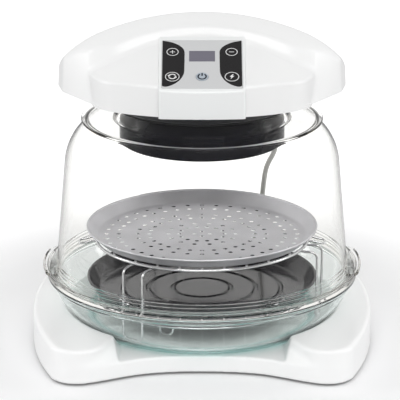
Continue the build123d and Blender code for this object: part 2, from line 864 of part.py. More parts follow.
def dark_blocks(depth):
    block = extrude(dark_outline(), depth)
    middle = overlay_start + overlay_length / 2
    x = (dark_panel_inner + dark_panel_outer) / 2
    right = on_panel(x, middle, depth) * block
    return [mirror(right, Plane.YZ), right]


def make_overlay():
    film = overlay_form(0, overlay_thickness) - lcd_block(0, -1, deck_bottom())
    for block in dark_blocks(overlay_thickness):
        film -= block
    for hole in key_holes(deck_bottom()):
        film -= hole
    return film


def make_dark_panels():
    panels = []
    for block in dark_blocks(overlay_thickness):
        for hole in key_holes(deck_bottom()):
            block = block - hole
        panels.append(block)
    return group(panels)


def make_display_window():
    return lcd_block(fit_gap / 2, 0, overlay_thickness)


def make_display_module():
    body = lcd_block(-1.0, board_drop - lcd_module_depth, board_drop)
    return body - lcd_block(lcd_lip, 0, board_drop - lcd_module_depth + 0.4)


def make_key(x, s):
    cap = extrude(Circle(key_radius), key_stem_bottom() + key_proud)
    cap = fillet(cap.edges().group_by(Axis.Z)[-1], 0.4)
    cap += extrude(Circle(key_radius + key_flange), key_flange_thickness)
    return on_panel(x, s, key_stem_bottom()) * cap


def make_keypad_board():
    middle = board_start + board_length / 2
    outline = RectangleRounded(2 * board_half_width, board_length, 3.0)
    board = on_panel(0, middle, board_drop + board_thickness) * extrude(outline, board_thickness)
    switch = extrude(Circle(dome_switch_radius), board_drop - key_stem_bottom() - key_travel - fit_gap)
    for x, s in key_places().values():
        board += on_panel(x, s, board_drop) * switch
    return board


# ---------------- head shells ----------------

def case_screw_places():
    return [Pos(turn * x, y, 0) for x, y in case_posts for turn in (-1, 1)]


def make_top_shell():
    outer = head_form(0)
    shell = outer - Pos(0, 0, -0.01) * head_form(head_wall)
    pillar = extrude(Pos(0, 0, cover_top + fit_gap) * Circle(case_post_radius), crown_peak_rise)
    for place in case_screw_places():
        shell += (place * pillar) & outer
    shell -= fascia_block(-fit_gap, -fit_gap)
    hole = extrude(Pos(0, 0, cover_top) * Circle(screw_radius), screw_length)
    for place in case_screw_places():
        shell -= place * hole
    middle = head_base + vent_slot_rise + vent_slot_height / 2
    slot = Pos(0, head_rear_y, middle) * Box(vent_slot_width, 30.0, vent_slot_height)
    for index in range(vent_slot_count):
        shell -= Pos((index - (vent_slot_count - 1) / 2) * vent_slot_pitch, 0, 0) * slot
    return shell - gland_place() * Cylinder(gland_inner + fit_gap, 30.0)


def supply_standoffs():
    x, y, length, width = supply_board
    return [
        Pos(x + turn * (length / 2 - 4.5), y + side * (width / 2 - 4.5), 0)
        for turn in (-1, 1) for side in (-1, 1)]


def housing_screw_places():
    return [Rot(0, 0, 45 + 90 * index) * Pos(housing_screw_ring, 0, 0) for index in range(4)]


def make_bottom_cover():
    slab = Pos(0, 0, head_base) * extrude(Rectangle(400, 300), cover_thickness)
    plate = head_form(head_wall + fit_gap) & slab
    ahead = Pos(0, cover_slot_gap - fascia_step_y - 50.0, head_base) * Box(400, 100.0, 20)
    plate -= fascia_block(-cover_slot_gap, 0) & ahead
    tongue = fascia_plan(fascia_wall + cover_slot_gap)
    plate += Pos(0, 0, head_base) * extrude(tongue, cover_thickness)
    standoff = extrude(Pos(0, 0, head_base) * Circle(standoff_radius), cover_thickness + standoff_height)
    for place in supply_standoffs():
        plate += place * standoff
    boss = extrude(Pos(0, 0, head_base) * Circle(standoff_radius + 1), screw_length - 2)
    for place in housing_screw_places():
        plate += place * boss
    plate -= extrude(Pos(0, 0, head_base) * Circle(cover_hole_radius), cover_thickness + 10)
    through = Pos(0, 0, head_base) * Cylinder(screw_radius + fit_gap, 10)
    for place in case_screw_places():
        plate -= place * through
    pilot = extrude(Pos(0, 0, head_base - 1) * Circle(screw_radius), screw_length)
    for place in housing_screw_places():
        plate -= place * pilot
    return plate


def screw(length):
    """Pan-head screw, head down, shank up from the head's bearing face."""
    head = extrude(Circle(screw_head_radius), -screw_head_height)
    head = fillet(head.edges().group_by(Axis.Z)[0], 0.8)
    slot = Pos(0, 0, -screw_head_height) * (Box(4, 0.9, 1.2) + Box(0.9, 4, 1.2))
    return head - slot + extrude(Circle(screw_radius - shaft_gap), length)


def make_case_screws():
    one = Pos(0, 0, head_base) * screw(screw_length)
    return group([place * one for place in case_screw_places()])


# ---------------- vent ring and heater housing ----------------

def make_vent_ring():
    inner = housing_radius + fit_gap
    low = head_base - vent_ring_height
    ring = lathe(
        (inner, low), (vent_ring_radius - 1.5, low), (vent_ring_radius, low + 1.5),
        (vent_ring_radius, head_base), (inner, head_base))
    notch_width = math.pi * vent_ring_radius / vent_tooth_count
    tooth = Pos(vent_ring_radius - 6, 0, head_base) * Box(14.0, notch_width, 2 * vent_tooth_depth)
    for index in range(vent_tooth_count):
        ring -= Rot(0, 0, (index + 0.5) * 360 / vent_tooth_count) * tooth
    hole = Pos(0, 0, head_base) * Cylinder(screw_radius + fit_gap, 30)
    pocket = extrude(Pos(0, 0, low - 1) * Circle(screw_head_radius + fit_gap), screw_head_height + 2)
    for place in housing_screw_places():
        ring -= place * hole
        ring -= place * pocket
    return ring


def make_housing_screws():
    seat = head_base - vent_ring_height + screw_head_height + 1
    one = Pos(0, 0, seat) * screw(head_base + screw_length - 4 - seat)
    return group([place * one for place in housing_screw_places()])


def make_housing():
    inner = housing_radius - housing_wall
    low = head_base - housing_depth
    can = lathe(
        (inner - housing_lip, low), (housing_radius - 1, low), (housing_radius, low + 1),
        (housing_radius, head_base), (inner - housing_flange, head_base),
        (inner - housing_flange, head_base - housing_wall), (inner, head_base - housing_wall),
        (inner, low + housing_wall), (inner - housing_lip, low + housing_wall))
    for drop in housing_bead_drops:
        middle = head_base - drop
        edge = housing_radius - housing_wall / 2
        half = housing_bead_height / 2
        bow = ThreePointArc(
            rz(housing_radius, middle - half), rz(housing_radius + housing_bead_proud, middle),
            rz(housing_radius, middle + half))
        back = Polyline(
            rz(housing_radius, middle + half), rz(edge, middle + half), rz(edge, middle - half),
            rz(housing_radius, middle - half))
        can += lathe_edges([bow, back])
    middle = head_base - housing_slot_drop + housing_slot_height / 2
    slot = Pos(housing_radius, 0, middle) * Box(10.0, housing_slot_width, housing_slot_height)
    for index in range(housing_slot_count):
        can -= Rot(0, 0, index * 360 / housing_slot_count) * slot
    hole = Pos(0, 0, low) * Cylinder(grille_screw_radius + fit_gap, 6)
    for place in grille_screw_places():
        can -= place * hole
    return can


def make_shield():
    top = head_base - shield_drop
    edge = housing_radius - housing_wall - fit_gap / 2
    return lathe((shield_hole, top - shield_sheet), (edge, top - shield_sheet), (edge, top), (shield_hole, top))


def make_dish():
    top = head_base - dish_drop
    low = top - dish_depth
    edge = housing_radius - housing_wall - fit_gap / 2
    dish = lathe(
        (dish_hole, top), (dish_flat, top), (dish_skirt, low), (edge, low), (edge, low - dish_sheet),
        (dish_skirt - 0.7, low - dish_sheet), (dish_flat - 0.7, top - dish_sheet),
        (dish_hole, top - dish_sheet))
    return dish - probe_at() * Cylinder(probe_radius + fit_gap, 60)


def probe_at():
    distance, angle = probe_place
    return Rot(0, 0, angle) * Pos(distance, 0, head_base - dish_drop)


def make_probe():
    low = -probe_length
    rod = extrude(Pos(0, 0, low) * Circle(probe_radius), probe_length + 4)
    rod = fillet(rod.edges().group_by(Axis.Z)[0], 1.5)
    return probe_at() * (rod + extrude(RegularPolygon(3.4, 6), 3.0))


def make_fuse():
    distance, angle = fuse_place
    drop = shield_drop + shield_sheet + fuse_radius
    place = Rot(0, 0, angle) * Pos(distance, 0, head_base - drop)
    body = Rot(90, 0, 0) * Cylinder(fuse_radius, fuse_length)
    clip = Pos(0, 0, fuse_radius / 2) * Box(2 * fuse_radius + 3, 5.0, fuse_radius)
    return place * (body + clip)


def ring_sector(minor, start, end):
    """Part of the heater ring's torus between two directions."""
    height = head_base - tube_drop
    section = Plane.XZ * Pos(tube_ring_radius, height) * Circle(minor)
    return Rot(0, 0, start) * revolve(section, Axis.Z, end - start)


def make_tube():
    half = tube_gap_angle / 2
    return ring_sector(tube_radius, 90 + half, 450 - half)


def dish_under(radius):
    """Height of the dish's underside at a distance from the axis."""
    share = (radius - dish_flat) / (dish_skirt - dish_flat)
    return head_base - dish_drop - dish_sheet - share * dish_depth


def make_tube_caps():
    """Ceramic ends that close the tube, each hung from the dish by a post."""
    caps = []
    half = tube_gap_angle / 2
    for side in (-1, 1):
        tube_end = 90 + side * half
        start = min(tube_end - side * tube_cap_angle / 2, tube_end + side * tube_cap_angle / 2)
        cap = ring_sector(tube_cap_radius, start, start + tube_cap_angle)
        cap -= make_tube_bore()
        angle = tube_end - side * tube_cap_angle * 0.3
        foot = head_base - tube_drop
        top = dish_under(tube_ring_radius + 3.5) - rest_gap
        post = extrude(Pos(tube_ring_radius, 0, foot) * Circle(2.5), top - foot)
        post = Rot(0, 0, angle) * post - make_tube_bore()
        caps.append(cap + post)
    return group(caps)


def make_tube_bore():
    half = tube_gap_angle / 2
    return ring_sector(tube_radius + shaft_gap, 90 + half, 450 - half)


def make_tube_clips():
    """Wire hangers: a band round the tube and a leg up to the dish."""
    clips = []
    width = math.degrees(tube_clip_width / tube_ring_radius)
    for angle in tube_clip_angles:
        start = angle - width / 2
        band = ring_sector(tube_radius + fit_gap + tube_clip_sheet, start, start + width)
        foot = head_base - tube_drop
        top = dish_under(tube_ring_radius + tube_clip_sheet) - rest_gap
        leg = Pos(tube_ring_radius, 0, (top + foot) / 2) * Box(tube_clip_sheet, 4.0, top - foot)
        band += Rot(0, 0, angle) * leg
        clips.append(band - ring_sector(tube_radius + fit_gap, start - 5, start + width + 5))
    return group(clips)


def grille_screw_places():
    middle = housing_radius - housing_wall - housing_lip / 2
    return [Rot(0, 0, 30 + 120 * index) * Pos(middle, 0, 0) for index in range(3)]


def make_grille():
    outer = housing_radius - housing_wall - fit_gap
    face = Circle(outer) - Circle(outer - grille_rim)
    for radius in grille_rings:
        face += Circle(radius + grille_ring_width / 2) - Circle(radius - grille_ring_width / 2)
    inner = grille_rings[0]
    for index in range(grille_spokes):
        spoke = Pos((inner + outer) / 2 - 1, 0) * Rectangle(outer - inner - 2, grille_spoke_width)
        face += Rot(0, 0, index * 360 / grille_spokes) * spoke
    seat = head_base - housing_depth + housing_wall
    grille = extrude(Pos(0, 0, seat) * face, grille_thickness)
    hole = Pos(0, 0, seat) * Cylinder(grille_screw_radius + fit_gap, 6)
    for place in grille_screw_places():
        grille -= place * hole
    return grille


def make_grille_screws():
    low = head_base - housing_depth
    head = extrude(Circle(2 * grille_screw_radius), -1.4)
    nut = Pos(0, 0, housing_wall + grille_thickness) * extrude(RegularPolygon(2.8, 6), 2.0)
    shank = extrude(Circle(grille_screw_radius), housing_wall + grille_thickness + 3)
    one = Pos(0, 0, low) * (head + shank + nut)
    return group([place * one for place in grille_screw_places()])


# ---------------- fans, shaft and motor ----------------

def make_shaft():
    low = head_base - shaft_low_drop
    shaft = extrude(Pos(0, 0, low) * Circle(shaft_radius), shaft_low_drop + shaft_high_rise)
    rotor_base = head_base + motor_rise
    rotor = Pos(0, 0, rotor_base) * extrude(Circle(rotor_radius), motor_stack)
    return chamfer((shaft + rotor).edges().group_by(Axis.Z)[0], 0.5)


def hub(radius, low, high):
    bore = shaft_radius + shaft_gap
    return Pos(0, 0, low) * extrude(Circle(radius) - Circle(bore), high - low)


def blade(inner, outer, sheet, height):
    """Backward-curved blade standing on a disc."""
    middle = (inner + outer) / 2
    sweep_back = 7.0
    outside = ThreePointArc((inner, 0), (middle, sweep_back), (outer, 2.0))
    inside = ThreePointArc((inner, -sheet), (middle, sweep_back - sheet), (outer, 2.0 - sheet))
    ends = Curve() + [Line(outside @ 1, inside @ 1), Line(inside @ 0, outside @ 0)]
    return extrude(make_face(Curve() + [outside, inside] + ends), height)


def make_fan():
    """Convection fan: a disc with curved blades hanging from it."""
    top = head_base - fan_disc_drop + fan_blade_sheet
    low = top - fan_blade_sheet - fan_blade_height
    fan = hub(fan_hub_radius, low - 1.5, top)
    disc = Circle(fan_radius) - Circle(fan_hub_radius - 1)
    fan += Pos(0, 0, head_base - fan_disc_drop) * extrude(disc, fan_blade_sheet)
    one = Pos(0, 0, low) * blade(22.0, fan_radius - 1.5, fan_blade_sheet, fan_blade_height + 0.5)
    for index in range(fan_blade_count):
        fan += Rot(0, 0, index * 360 / fan_blade_count) * one
    return fan


def make_fan_nut():
    low = head_base - shaft_low_drop + 0.2
    nut = extrude(RegularPolygon(5.5, 6) - Circle(shaft_radius + shaft_gap), fan_nut_height - 0.2)
    return Pos(0, 0, low) * nut


def make_cooling_fan():
    low = head_base - cooling_fan_drop
    fan = hub(cooling_hub_radius, low, low + fan_blade_sheet + cooling_blade_height)
    disc = Circle(cooling_fan_radius) - Circle(cooling_hub_radius - 1)
    fan += Pos(0, 0, low) * extrude(disc, fan_blade_sheet)
    one = Pos(0, 0, low + 0.5)
    one *= blade(16.0, cooling_fan_radius - 1.5, fan_blade_sheet, cooling_blade_height + 0.5)
    for index in range(cooling_blade_count):
        fan += Rot(0, 0, index * 360 / cooling_blade_count) * one
    return fan


def motor_bolts():
    return [Pos(x, y, 0) for x in (-pillar_x, pillar_x) for y in (-pillar_y, pillar_y)]


def make_motor_stack():
    """Shaded-pole laminations: a frame with a round pole bore and a window for the coil."""
    low = head_base + motor_rise
    outline = RectangleRounded(motor_width, motor_depth, 3.0)
    outline += Pos(0, motor_depth / 2 + 10) * Rectangle(motor_width - 8, 26)
    outline -= Circle(rotor_radius + rotor_gap)
    for turn in (-1, 1):
        outline -= Pos(turn * 18.5, motor_depth / 2 + 6.5) * Rectangle(9.0, 17.0)
    stack = Pos(0, 0, low) * extrude(outline, motor_stack)
    hole = Pos(0, 0, low + motor_stack / 2) * Cylinder(pillar_radius - 0.8, motor_stack + 2)
    for place in motor_bolts():
        stack -= place * hole
    return stack


def make_motor_coil():
    """Bobbin on the stack's bridge limb."""
    low = head_base + motor_rise
    limb_y = motor_depth / 2 + 6.5
    outer = Pos(0, limb_y, low - 3.5) * extrude(RectangleRounded(44.0, 15.0, 3.0), motor_stack + 7)
    limb = Pos(0, limb_y, low + motor_stack / 2) * Box(28.0 + 2 * fit_gap, 40.0, motor_stack + 2 * fit_gap)
    return outer - limb


def make_motor_plates():
    """End plates with the bearings, one under and one over the stack."""
    low = head_base + motor_rise
    face = RectangleRounded(2 * pillar_x + 10, 2 * pillar_y + 8, 3.0)
    plate = extrude(face, motor_plate)
    bearing = extrude(Circle(8.0), 5.0)
    bore = Cylinder(shaft_radius + shaft_gap, 4 * motor_stack)
    under = Pos(0, 0, low - motor_plate) * plate + Pos(0, 0, low - 5.0) * bearing
    over = Pos(0, 0, low + motor_stack) * (plate + bearing)
    plates = []
    for part, recess in ((under, low), (over, low + motor_stack)):
        part = part - Pos(0, 0, low) * bore
        for place in motor_bolts():
            part -= place * Pos(0, 0, recess) * Cylinder(pillar_radius - 0.8, 12)
        plates.append(part)
    return group(plates)


def make_bracket():
    base = cover_top
    face = RectangleRounded(bracket_length, bracket_width, 6.0) - Circle(bracket_hole)
    plate = Pos(0, 0, base) * extrude(face, bracket_sheet)
    top = head_base + motor_rise - motor_plate
    pillar = Pos(0, 0, base) * extrude(Circle(pillar_radius), top - base)
    for place in motor_bolts():
        plate += place * pillar
    rib = Pos(0, 0, base + 4) * Box(bracket_length - 16, 2.0, 8.0)
    for side in (-1, 1):
        plate += Pos(0, side * (bracket_width / 2 - 1.0), 0) * rib
    return plate


def make_motor_bolts():
    low = cover_top + bracket_sheet
    top = head_base + motor_rise + motor_stack + motor_plate
    start = head_base + motor_rise - motor_plate
    rod = Pos(0, 0, start) * extrude(Circle(pillar_radius - 0.8 - shaft_gap), top - start)
    head = Pos(0, 0, top) * extrude(RegularPolygon(3.2, 6), 2.4)
    return group([place * (rod + head) for place in motor_bolts()])


# ---------------- electrics ----------------

def make_supply_board():
    x, y, length, width = supply_board
    base = cover_top + standoff_height
    board = Pos(x, y, base) * extrude(RectangleRounded(length, width, 2.0), board_thickness)
    return board


def make_board_components():
    """Relays, capacitors, a heat sink and connectors standing on the supply board."""
    x, y, length, width = supply_board
    base = cover_top + standoff_height + board_thickness
    place = Pos(x, y, base)
    relay = Pos(-20, 14, 8) * Box(20, 16, 16)
    second = Pos(-20, -8, 8) * Box(20, 16, 16)
    parts = [relay, second]
    for across in (2.0, 16.0):
        parts.append(Pos(across, 16, 0) * extrude(Circle(5.5), 14))
    fins = Pos(12, -10, 1.5) * Box(24, 18, 3)
    for index in range(5):
        fins += Pos(2 + index * 5, -10, 9) * Box(1.2, 18, 18)
    parts.append(fins)
    parts.append(Pos(29, 12, 4.5) * Box(7, 24, 9))
    return group([place * part for part in parts])


def make_transformer():
    x, y = transformer_place
    length, width, height = transformer_size
    core = Pos(0, 0, height / 2) * Box(length, width * 0.55, height)
    coil = Pos(0, 0, height / 2) * Box(length * 0.62, width, height * 0.7)
    flange = Pos(0, 0, 0.8) * Box(length + 16, width * 0.4, 1.6)
    return Pos(x, y, cover_top) * (core + fillet(coil.edges().filter_by(Axis.X), 3.0) + flange)


def make_terminal_block():
    x, y = terminal_place
    length, width, height = terminal_size
    block = Pos(0, 0, height / 2) * Box(length, width, height)
    for index in range(3):
        across = (index - 1) * length / 3
        block -= Pos(across, 0, height) * Cylinder(2.4, 6)
        block -= Pos(across, 0, 4.5) * Rot(90, 0, 0) * Cylinder(1.8, width + 2)
    return Pos(x, y, cover_top) * block


# ---------------- cord ----------------

def rear_normal():
    """Point and outward direction of the head's rear wall where the cord leaves."""
    cx, cy, radius = circle_through(
        (-head_tip_half, head_tip_y), (0.0, head_rear_y), (head_tip_half, head_tip_y))
    y = cy + math.sqrt(radius ** 2 - (gland_x - cx) ** 2)
    way = Vector((gland_x - cx) / radius, (y - cy) / radius, 0)
    return Vector(gland_x, y, head_base + gland_rise), way


def gland_place():
    point, way = rear_normal()
    return Plane(origin=tuple(point), x_dir=(0, 0, 1), z_dir=tuple(way)).location


def make_gland():
    """Bend relief: collar against the wall, grooved taper outside, grip nut inside."""
    reach = gland_length
    edges = Polyline(
        (0, -7.0), (gland_inner + 2, -7.0), (gland_inner + 2, -4.0), (gland_inner, -4.0),
        (gland_inner, 0.6), (gland_collar, 0.6), (gland_collar, 3.0), (gland_root, 3.0),
        (gland_tip, reach), (0, reach), close=True)
    body = revolve(Plane.XZ * make_face(edges), Axis.Z)
    for index in range(5):
        along = 8.0 + index * 4.6
        share = (along - 3.0) / (reach - 3.0)
        outer = gland_root + (gland_tip - gland_root) * share
        body -= Pos(0, 0, along) * (Cylinder(outer + 1, 1.8) - Cylinder(outer - 1.0, 1.8))
    return gland_place() * body


def cord_route():
    """Centre line from the gland's tip down behind the oven to the coil on the surface."""
    point, way = rear_normal()
    tip = point + way * gland_length
    free = [
        (94.0, 183.6, 338.9), (98.0, 196.3, 326.8), (100.4, 204.1, 310.8), (101.0, 205.9, 292.9),
        (102.5, 203.0, 264.0), (104.5, 197.0, 227.0), (103.5, 190.0, 196.0), (89.5, 187.5, 175.0),
        (86.0, 189.0, 148.0), (84.0, 196.0, 121.5), (82.0, 204.0, 96.0), (78.0, 210.5, 71.0),
        (71.0, 215.0, 47.0), (59.5, 217.5, 27.5), (43.0, 217.5, 14.0), (22.0, 215.4, 7.6)]
    lead = tip + way * 18
    return [tuple(tip), tuple(lead)] + free


def tangent_path(points):
    """Straight runs joined by arcs, each arc as large as its two runs allow."""
    places = [Vector(*p) for p in points]
    edges = []
    start = places[0]
    for before, corner, after in zip(places, places[1:], places[2:]):
        run_in = (corner - before)
        run_out = (after - corner)
        way_in = run_in.normalized()
        way_out = run_out.normalized()
        turn = math.radians(way_in.get_angle(way_out))
        cut = 0.45 * min(run_in.length, run_out.length)
        arc_start = corner - way_in * cut
        arc_end = corner + way_out * cut
        edges.append(Line(start, arc_start))
        edges.append(TangentArc(arc_start, arc_end, tangent=way_in))
        radius = cut / math.tan(turn / 2)
        print("cord arc radius", round(radius, 1))
        start = arc_end
    edges.append(Line(start, places[-1]))
    return Wire(edges)


def make_cord():
    path = tangent_path(cord_route())
    tube = sweep(Plane(origin=path @ 0, z_dir=path % 0) * Circle(cord_radius), path=path)
    tail = plug_place() * Pos(0, 0, -tail_length) * extrude(Circle(cord_radius), tail_length - plug_relief)
    return group([tube - make_coil(), tail - make_coil()])


def coil_place():
    return Pos(coil_x, coil_y, coil_lift)


def make_coil():
    """Outer shape of the coiled stretch."""
    inner = coil_mid_radius - coil_width / 2
    outer = coil_mid_radius + coil_width / 2
    return coil_place() * extrude(Circle(outer) - Circle(inner), coil_height)


def make_tie():
    """Band round the coil's section."""
    width = coil_width + 2 * tie_gap
    height = coil_height + 2 * tie_gap
    middle = coil_height / 2
    hole = Pos(coil_mid_radius, middle) * Rectangle(width, height)
    band = Pos(coil_mid_radius, middle) * Rectangle(width + 2 * tie_sheet, height + 2 * tie_sheet)
    turn = math.degrees(tie_width / coil_mid_radius)
    return coil_place() * Rot(0, 0, tie_angle) * revolve(Plane.XZ * (band - hole), Axis.Z, turn)


def plug_place():
    """Where the cord's end meets the plug: z along the plug, x across it, on the surface."""
    turn = math.radians(tail_angle)
    strand = coil_mid_radius + coil_width / 4
    start = Vector(
        coil_x + strand * math.cos(turn), coil_y + strand * math.sin(turn), plug_height / 2)
    way = Vector(math.sin(turn), -math.cos(turn), 0)
    return Plane(origin=tuple(start + way * tail_length), x_dir=(0, 0, 1), z_dir=tuple(way)).location


def make_plug():
    """Moulded plug: grip waisted towards the cord, bend relief behind it."""
    sections = []
    for along, height, width, corner in (
            (0.0, 12.0, 13.0, 4.0), (9.0, 15.0, 19.0, 5.0), (20.0, plug_height, plug_width, 6.0),
            (plug_length, plug_height, plug_width, 6.0)):
        sections.append(Pos(0, 0, along) * RectangleRounded(height, width, corner))
    body = loft(sections[:3], ruled=True) + extrude(sections[2], plug_length - 20.0)
    body = fillet(body.edges().group_by(Axis.Z)[-1], 1.5)
    relief = Pos(0, 0, -plug_relief) * extrude(Circle(cord_radius + 1.2), plug_relief)
    return plug_place() * (body + relief)


def make_plug_blades():
    blades = []
    for side in (-1, 1):
        one = Box(blade_width, blade_sheet, blade_length)
        one = chamfer(one.edges().group_by(Axis.Z)[-1], 0.5)
        blades.append(Pos(0, side * blade_pitch / 2, plug_length + blade_length / 2) * one)
    return group([plug_place() * one for one in blades])


# ---------------- pieces ----------------

pieces = {
    "base_tray": make_tray(),
    "base_feet": make_feet(),
    "foot_screws": make_foot_screws(),
    "glass_bowl": make_bowl(),
    "low_rack_rings": make_low_rings(),
    "low_rack_bars": bars(low_ring_radius, low_bar_height()),
    "low_rack_feet": make_low_feet(),
    "liner_pan": make_liner(),
    "high_rack_ring": Pos(0, 0, high_ring_top - rack_ring_wire) * Torus(high_ring_radius, rack_ring_wire),
    "high_rack_bars": bars(high_ring_radius, high_bar_top - rack_bar_wire),
    "high_rack_legs": make_high_legs(),
    "high_rack_handles": make_rack_handles(),
    "pizza_pan": make_pan(),
    "dome_cover": make_dome(),
    "neck_seal": make_seal(),
    "head_top_shell": make_top_shell(),
    "head_bottom_cover": make_bottom_cover(),
    "case_screws": make_case_screws(),
    "control_fascia": make_fascia(),
    "keypad_overlay": make_overlay(),
    "overlay_dark_panels": make_dark_panels(),
    "display_window": make_display_window(),
    "display_module": make_display_module(),
    "keypad_board": make_keypad_board(),
    "supply_board": make_supply_board(),
    "board_components": make_board_components(),
    "transformer": make_transformer(),
    "terminal_block": make_terminal_block(),
    "motor_stack": make_motor_stack(),
    "motor_coil": make_motor_coil(),
    "motor_end_plates": make_motor_plates(),
    "motor_bracket": make_bracket(),
    "motor_bolts": make_motor_bolts(),
    "motor_shaft": make_shaft(),
    "cooling_fan": make_cooling_fan(),
    "convection_fan": make_fan(),
    "fan_nut": make_fan_nut(),
    "vent_ring": make_vent_ring(),
    "housing_screws": make_housing_screws(),
    "heater_housing": make_housing(),
    "heat_shield": make_shield(),
    "reflector_dish": make_dish(),
    "halogen_tube": make_tube(),
    "tube_end_caps": make_tube_caps(),
    "tube_clips": make_tube_clips(),
    "thermostat_probe": make_probe(),
    "thermal_fuse": make_fuse(),
    "heater_grille": make_grille(),
    "grille_screws": make_grille_screws(),
    "cord_gland": make_gland(),
    "power_cord": make_cord(),
    "cord_coil": make_coil(),
    "cord_tie": make_tie(),
    "power_plug": make_plug(),
    "plug_blades": make_plug_blades(),
}
for name, (across, up) in key_places().items():
    pieces[name] = make_key(across, up)

os.makedirs("parts", exist_ok=True)
for name, piece in pieces.items():
    export_step(piece, f"parts/{name}.step")
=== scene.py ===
import math

import bmesh
import bpy
import numpy as np
from mathutils import Matrix, Vector


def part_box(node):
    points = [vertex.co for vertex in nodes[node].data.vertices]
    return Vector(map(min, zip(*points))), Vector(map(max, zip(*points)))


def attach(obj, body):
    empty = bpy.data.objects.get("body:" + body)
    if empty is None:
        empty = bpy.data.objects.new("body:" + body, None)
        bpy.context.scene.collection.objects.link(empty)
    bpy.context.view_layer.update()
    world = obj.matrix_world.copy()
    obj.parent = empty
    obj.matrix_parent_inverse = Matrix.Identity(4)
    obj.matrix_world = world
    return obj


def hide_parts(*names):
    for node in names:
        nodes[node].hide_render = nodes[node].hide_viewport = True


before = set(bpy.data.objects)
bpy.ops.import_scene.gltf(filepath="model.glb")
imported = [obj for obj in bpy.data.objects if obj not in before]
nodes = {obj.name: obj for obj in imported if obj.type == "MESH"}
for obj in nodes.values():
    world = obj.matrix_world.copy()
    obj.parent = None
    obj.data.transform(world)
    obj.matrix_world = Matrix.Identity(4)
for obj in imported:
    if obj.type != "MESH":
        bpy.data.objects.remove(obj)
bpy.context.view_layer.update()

scene = bpy.context.scene
mm = 0.001


# camera and light

camera = {
    "place": (-0.0026, -2.989, 1.115),
    "tilt": 72.7,  # degrees from straight down
    "lens": 216.0,
    "sensor": 36.0,
}


def makeCamera():
    data = bpy.data.cameras.new("camera")
    data.lens = camera["lens"]
    data.sensor_width = camera["sensor"]
    data.clip_end = 50.0
    eye = placed("camera", data)
    eye.location = camera["place"]
    eye.rotation_euler = (math.radians(camera["tilt"]), 0, 0)
    scene.camera = eye


lamps = [
    {"name": "frontSoftbox", "size": (2.4, 1.4), "place": (0.1, -2.0, 2.0), "aim": (0, 0, 0.25), "watts": 41},
    {"name": "leftStrip", "size": (0.5, 1.7), "place": (-2.3, 0.15, 1.0), "aim": (0, 0, 0.25), "watts": 9},
    {"name": "rightStrip", "size": (0.5, 1.7), "place": (2.35, 0.1, 1.0), "aim": (0, 0, 0.25), "watts": 8},
]
room = {
    "front": 0.41, "above": 0.30, "behind": 0.95, "seen": 1.0,  # light from each side, and what the camera sees
    "turn": (-0.85, 0.0), "rise": (0.55, 0.92),  # where front goes over into behind, and both into above
}


def makeLamps():
    for lamp in lamps:
        data = bpy.data.lights.new(lamp["name"], "AREA")
        data.shape = "RECTANGLE"
        data.size, data.size_y = lamp["size"]
        data.energy = lamp["watts"]
        thing = placed(lamp["name"], data)
        thing.location = lamp["place"]
        way = Vector(lamp["aim"]) - Vector(lamp["place"])
        thing.rotation_euler = way.to_track_quat("-Z", "Y").to_euler()


def addNode(tree, kind, values=None, **settings):
    # new node: its settings, then a value or a link for each socket
    node = tree.nodes.new("ShaderNode" + kind)
    for name, value in settings.items():
        setattr(node, name, value)
    for socket, value in (values or {}).items():
        if isinstance(value, bpy.types.NodeSocket):
            tree.links.new(value, node.inputs[socket])
        else:
            node.inputs[socket].default_value = value
    return node


def mapRange(tree, value, start, end, low=0.0, high=1.0, ease="SMOOTHSTEP"):
    values = {"Value": value, "From Min": start, "From Max": end, "To Min": low, "To Max": high}
    return addNode(tree, "MapRange", values, interpolation_type=ease).outputs["Result"]


def straightSight(tree):
    # 1 for what the camera sees, straight or through glass, and 0 for reflections and light
    path = addNode(tree, "LightPath").outputs

    def step(operation, first, second):
        return addNode(tree, "Math", {0: first, 1: second}, operation=operation).outputs[0]

    noMirror = step("LESS_THAN", path["Glossy Depth"], 0.5)
    noBounce = step("LESS_THAN", path["Diffuse Depth"], 0.5)
    through = step("MULTIPLY", path["Is Transmission Ray"], step("MULTIPLY", noMirror, noBounce))
    return step("MAXIMUM", path["Is Camera Ray"], through)


def makeRoom():
    # bright backdrop behind the oven, dim studio in front of it
    world = bpy.data.worlds.new("room")
    world.use_nodes = True
    scene.world = world
    tree = world.node_tree
    tree.nodes.clear()
    way = addNode(tree, "SeparateXYZ", {0: addNode(tree, "TexCoord").outputs["Generated"]}).outputs
    turn = mapRange(tree, way["Y"], *room["turn"], room["front"], room["behind"])
    rise = mapRange(tree, way["Z"], *room["rise"])
    blend = addNode(tree, "Mix", {"Factor": rise, "A": turn, "B": room["above"]}).outputs["Result"]
    sight = {"Factor": straightSight(tree), "A": blend, "B": room["seen"]}
    strength = addNode(tree, "Mix", sight).outputs["Result"]
    light = addNode(tree, "Background", {"Color": (1, 1, 1, 1), "Strength": strength}).outputs[0]
    addNode(tree, "OutputWorld", {"Surface": light})


floorLook = {
    "side": 5.0, "front": -0.75, "back": 7.0, "colour": (0.84, 0.84, 0.845),
    "near": 0.3, "far": 0.75, "nearGlow": 0.10, "farGlow": 0.6,  # the paper goes to plain white away from the oven
}


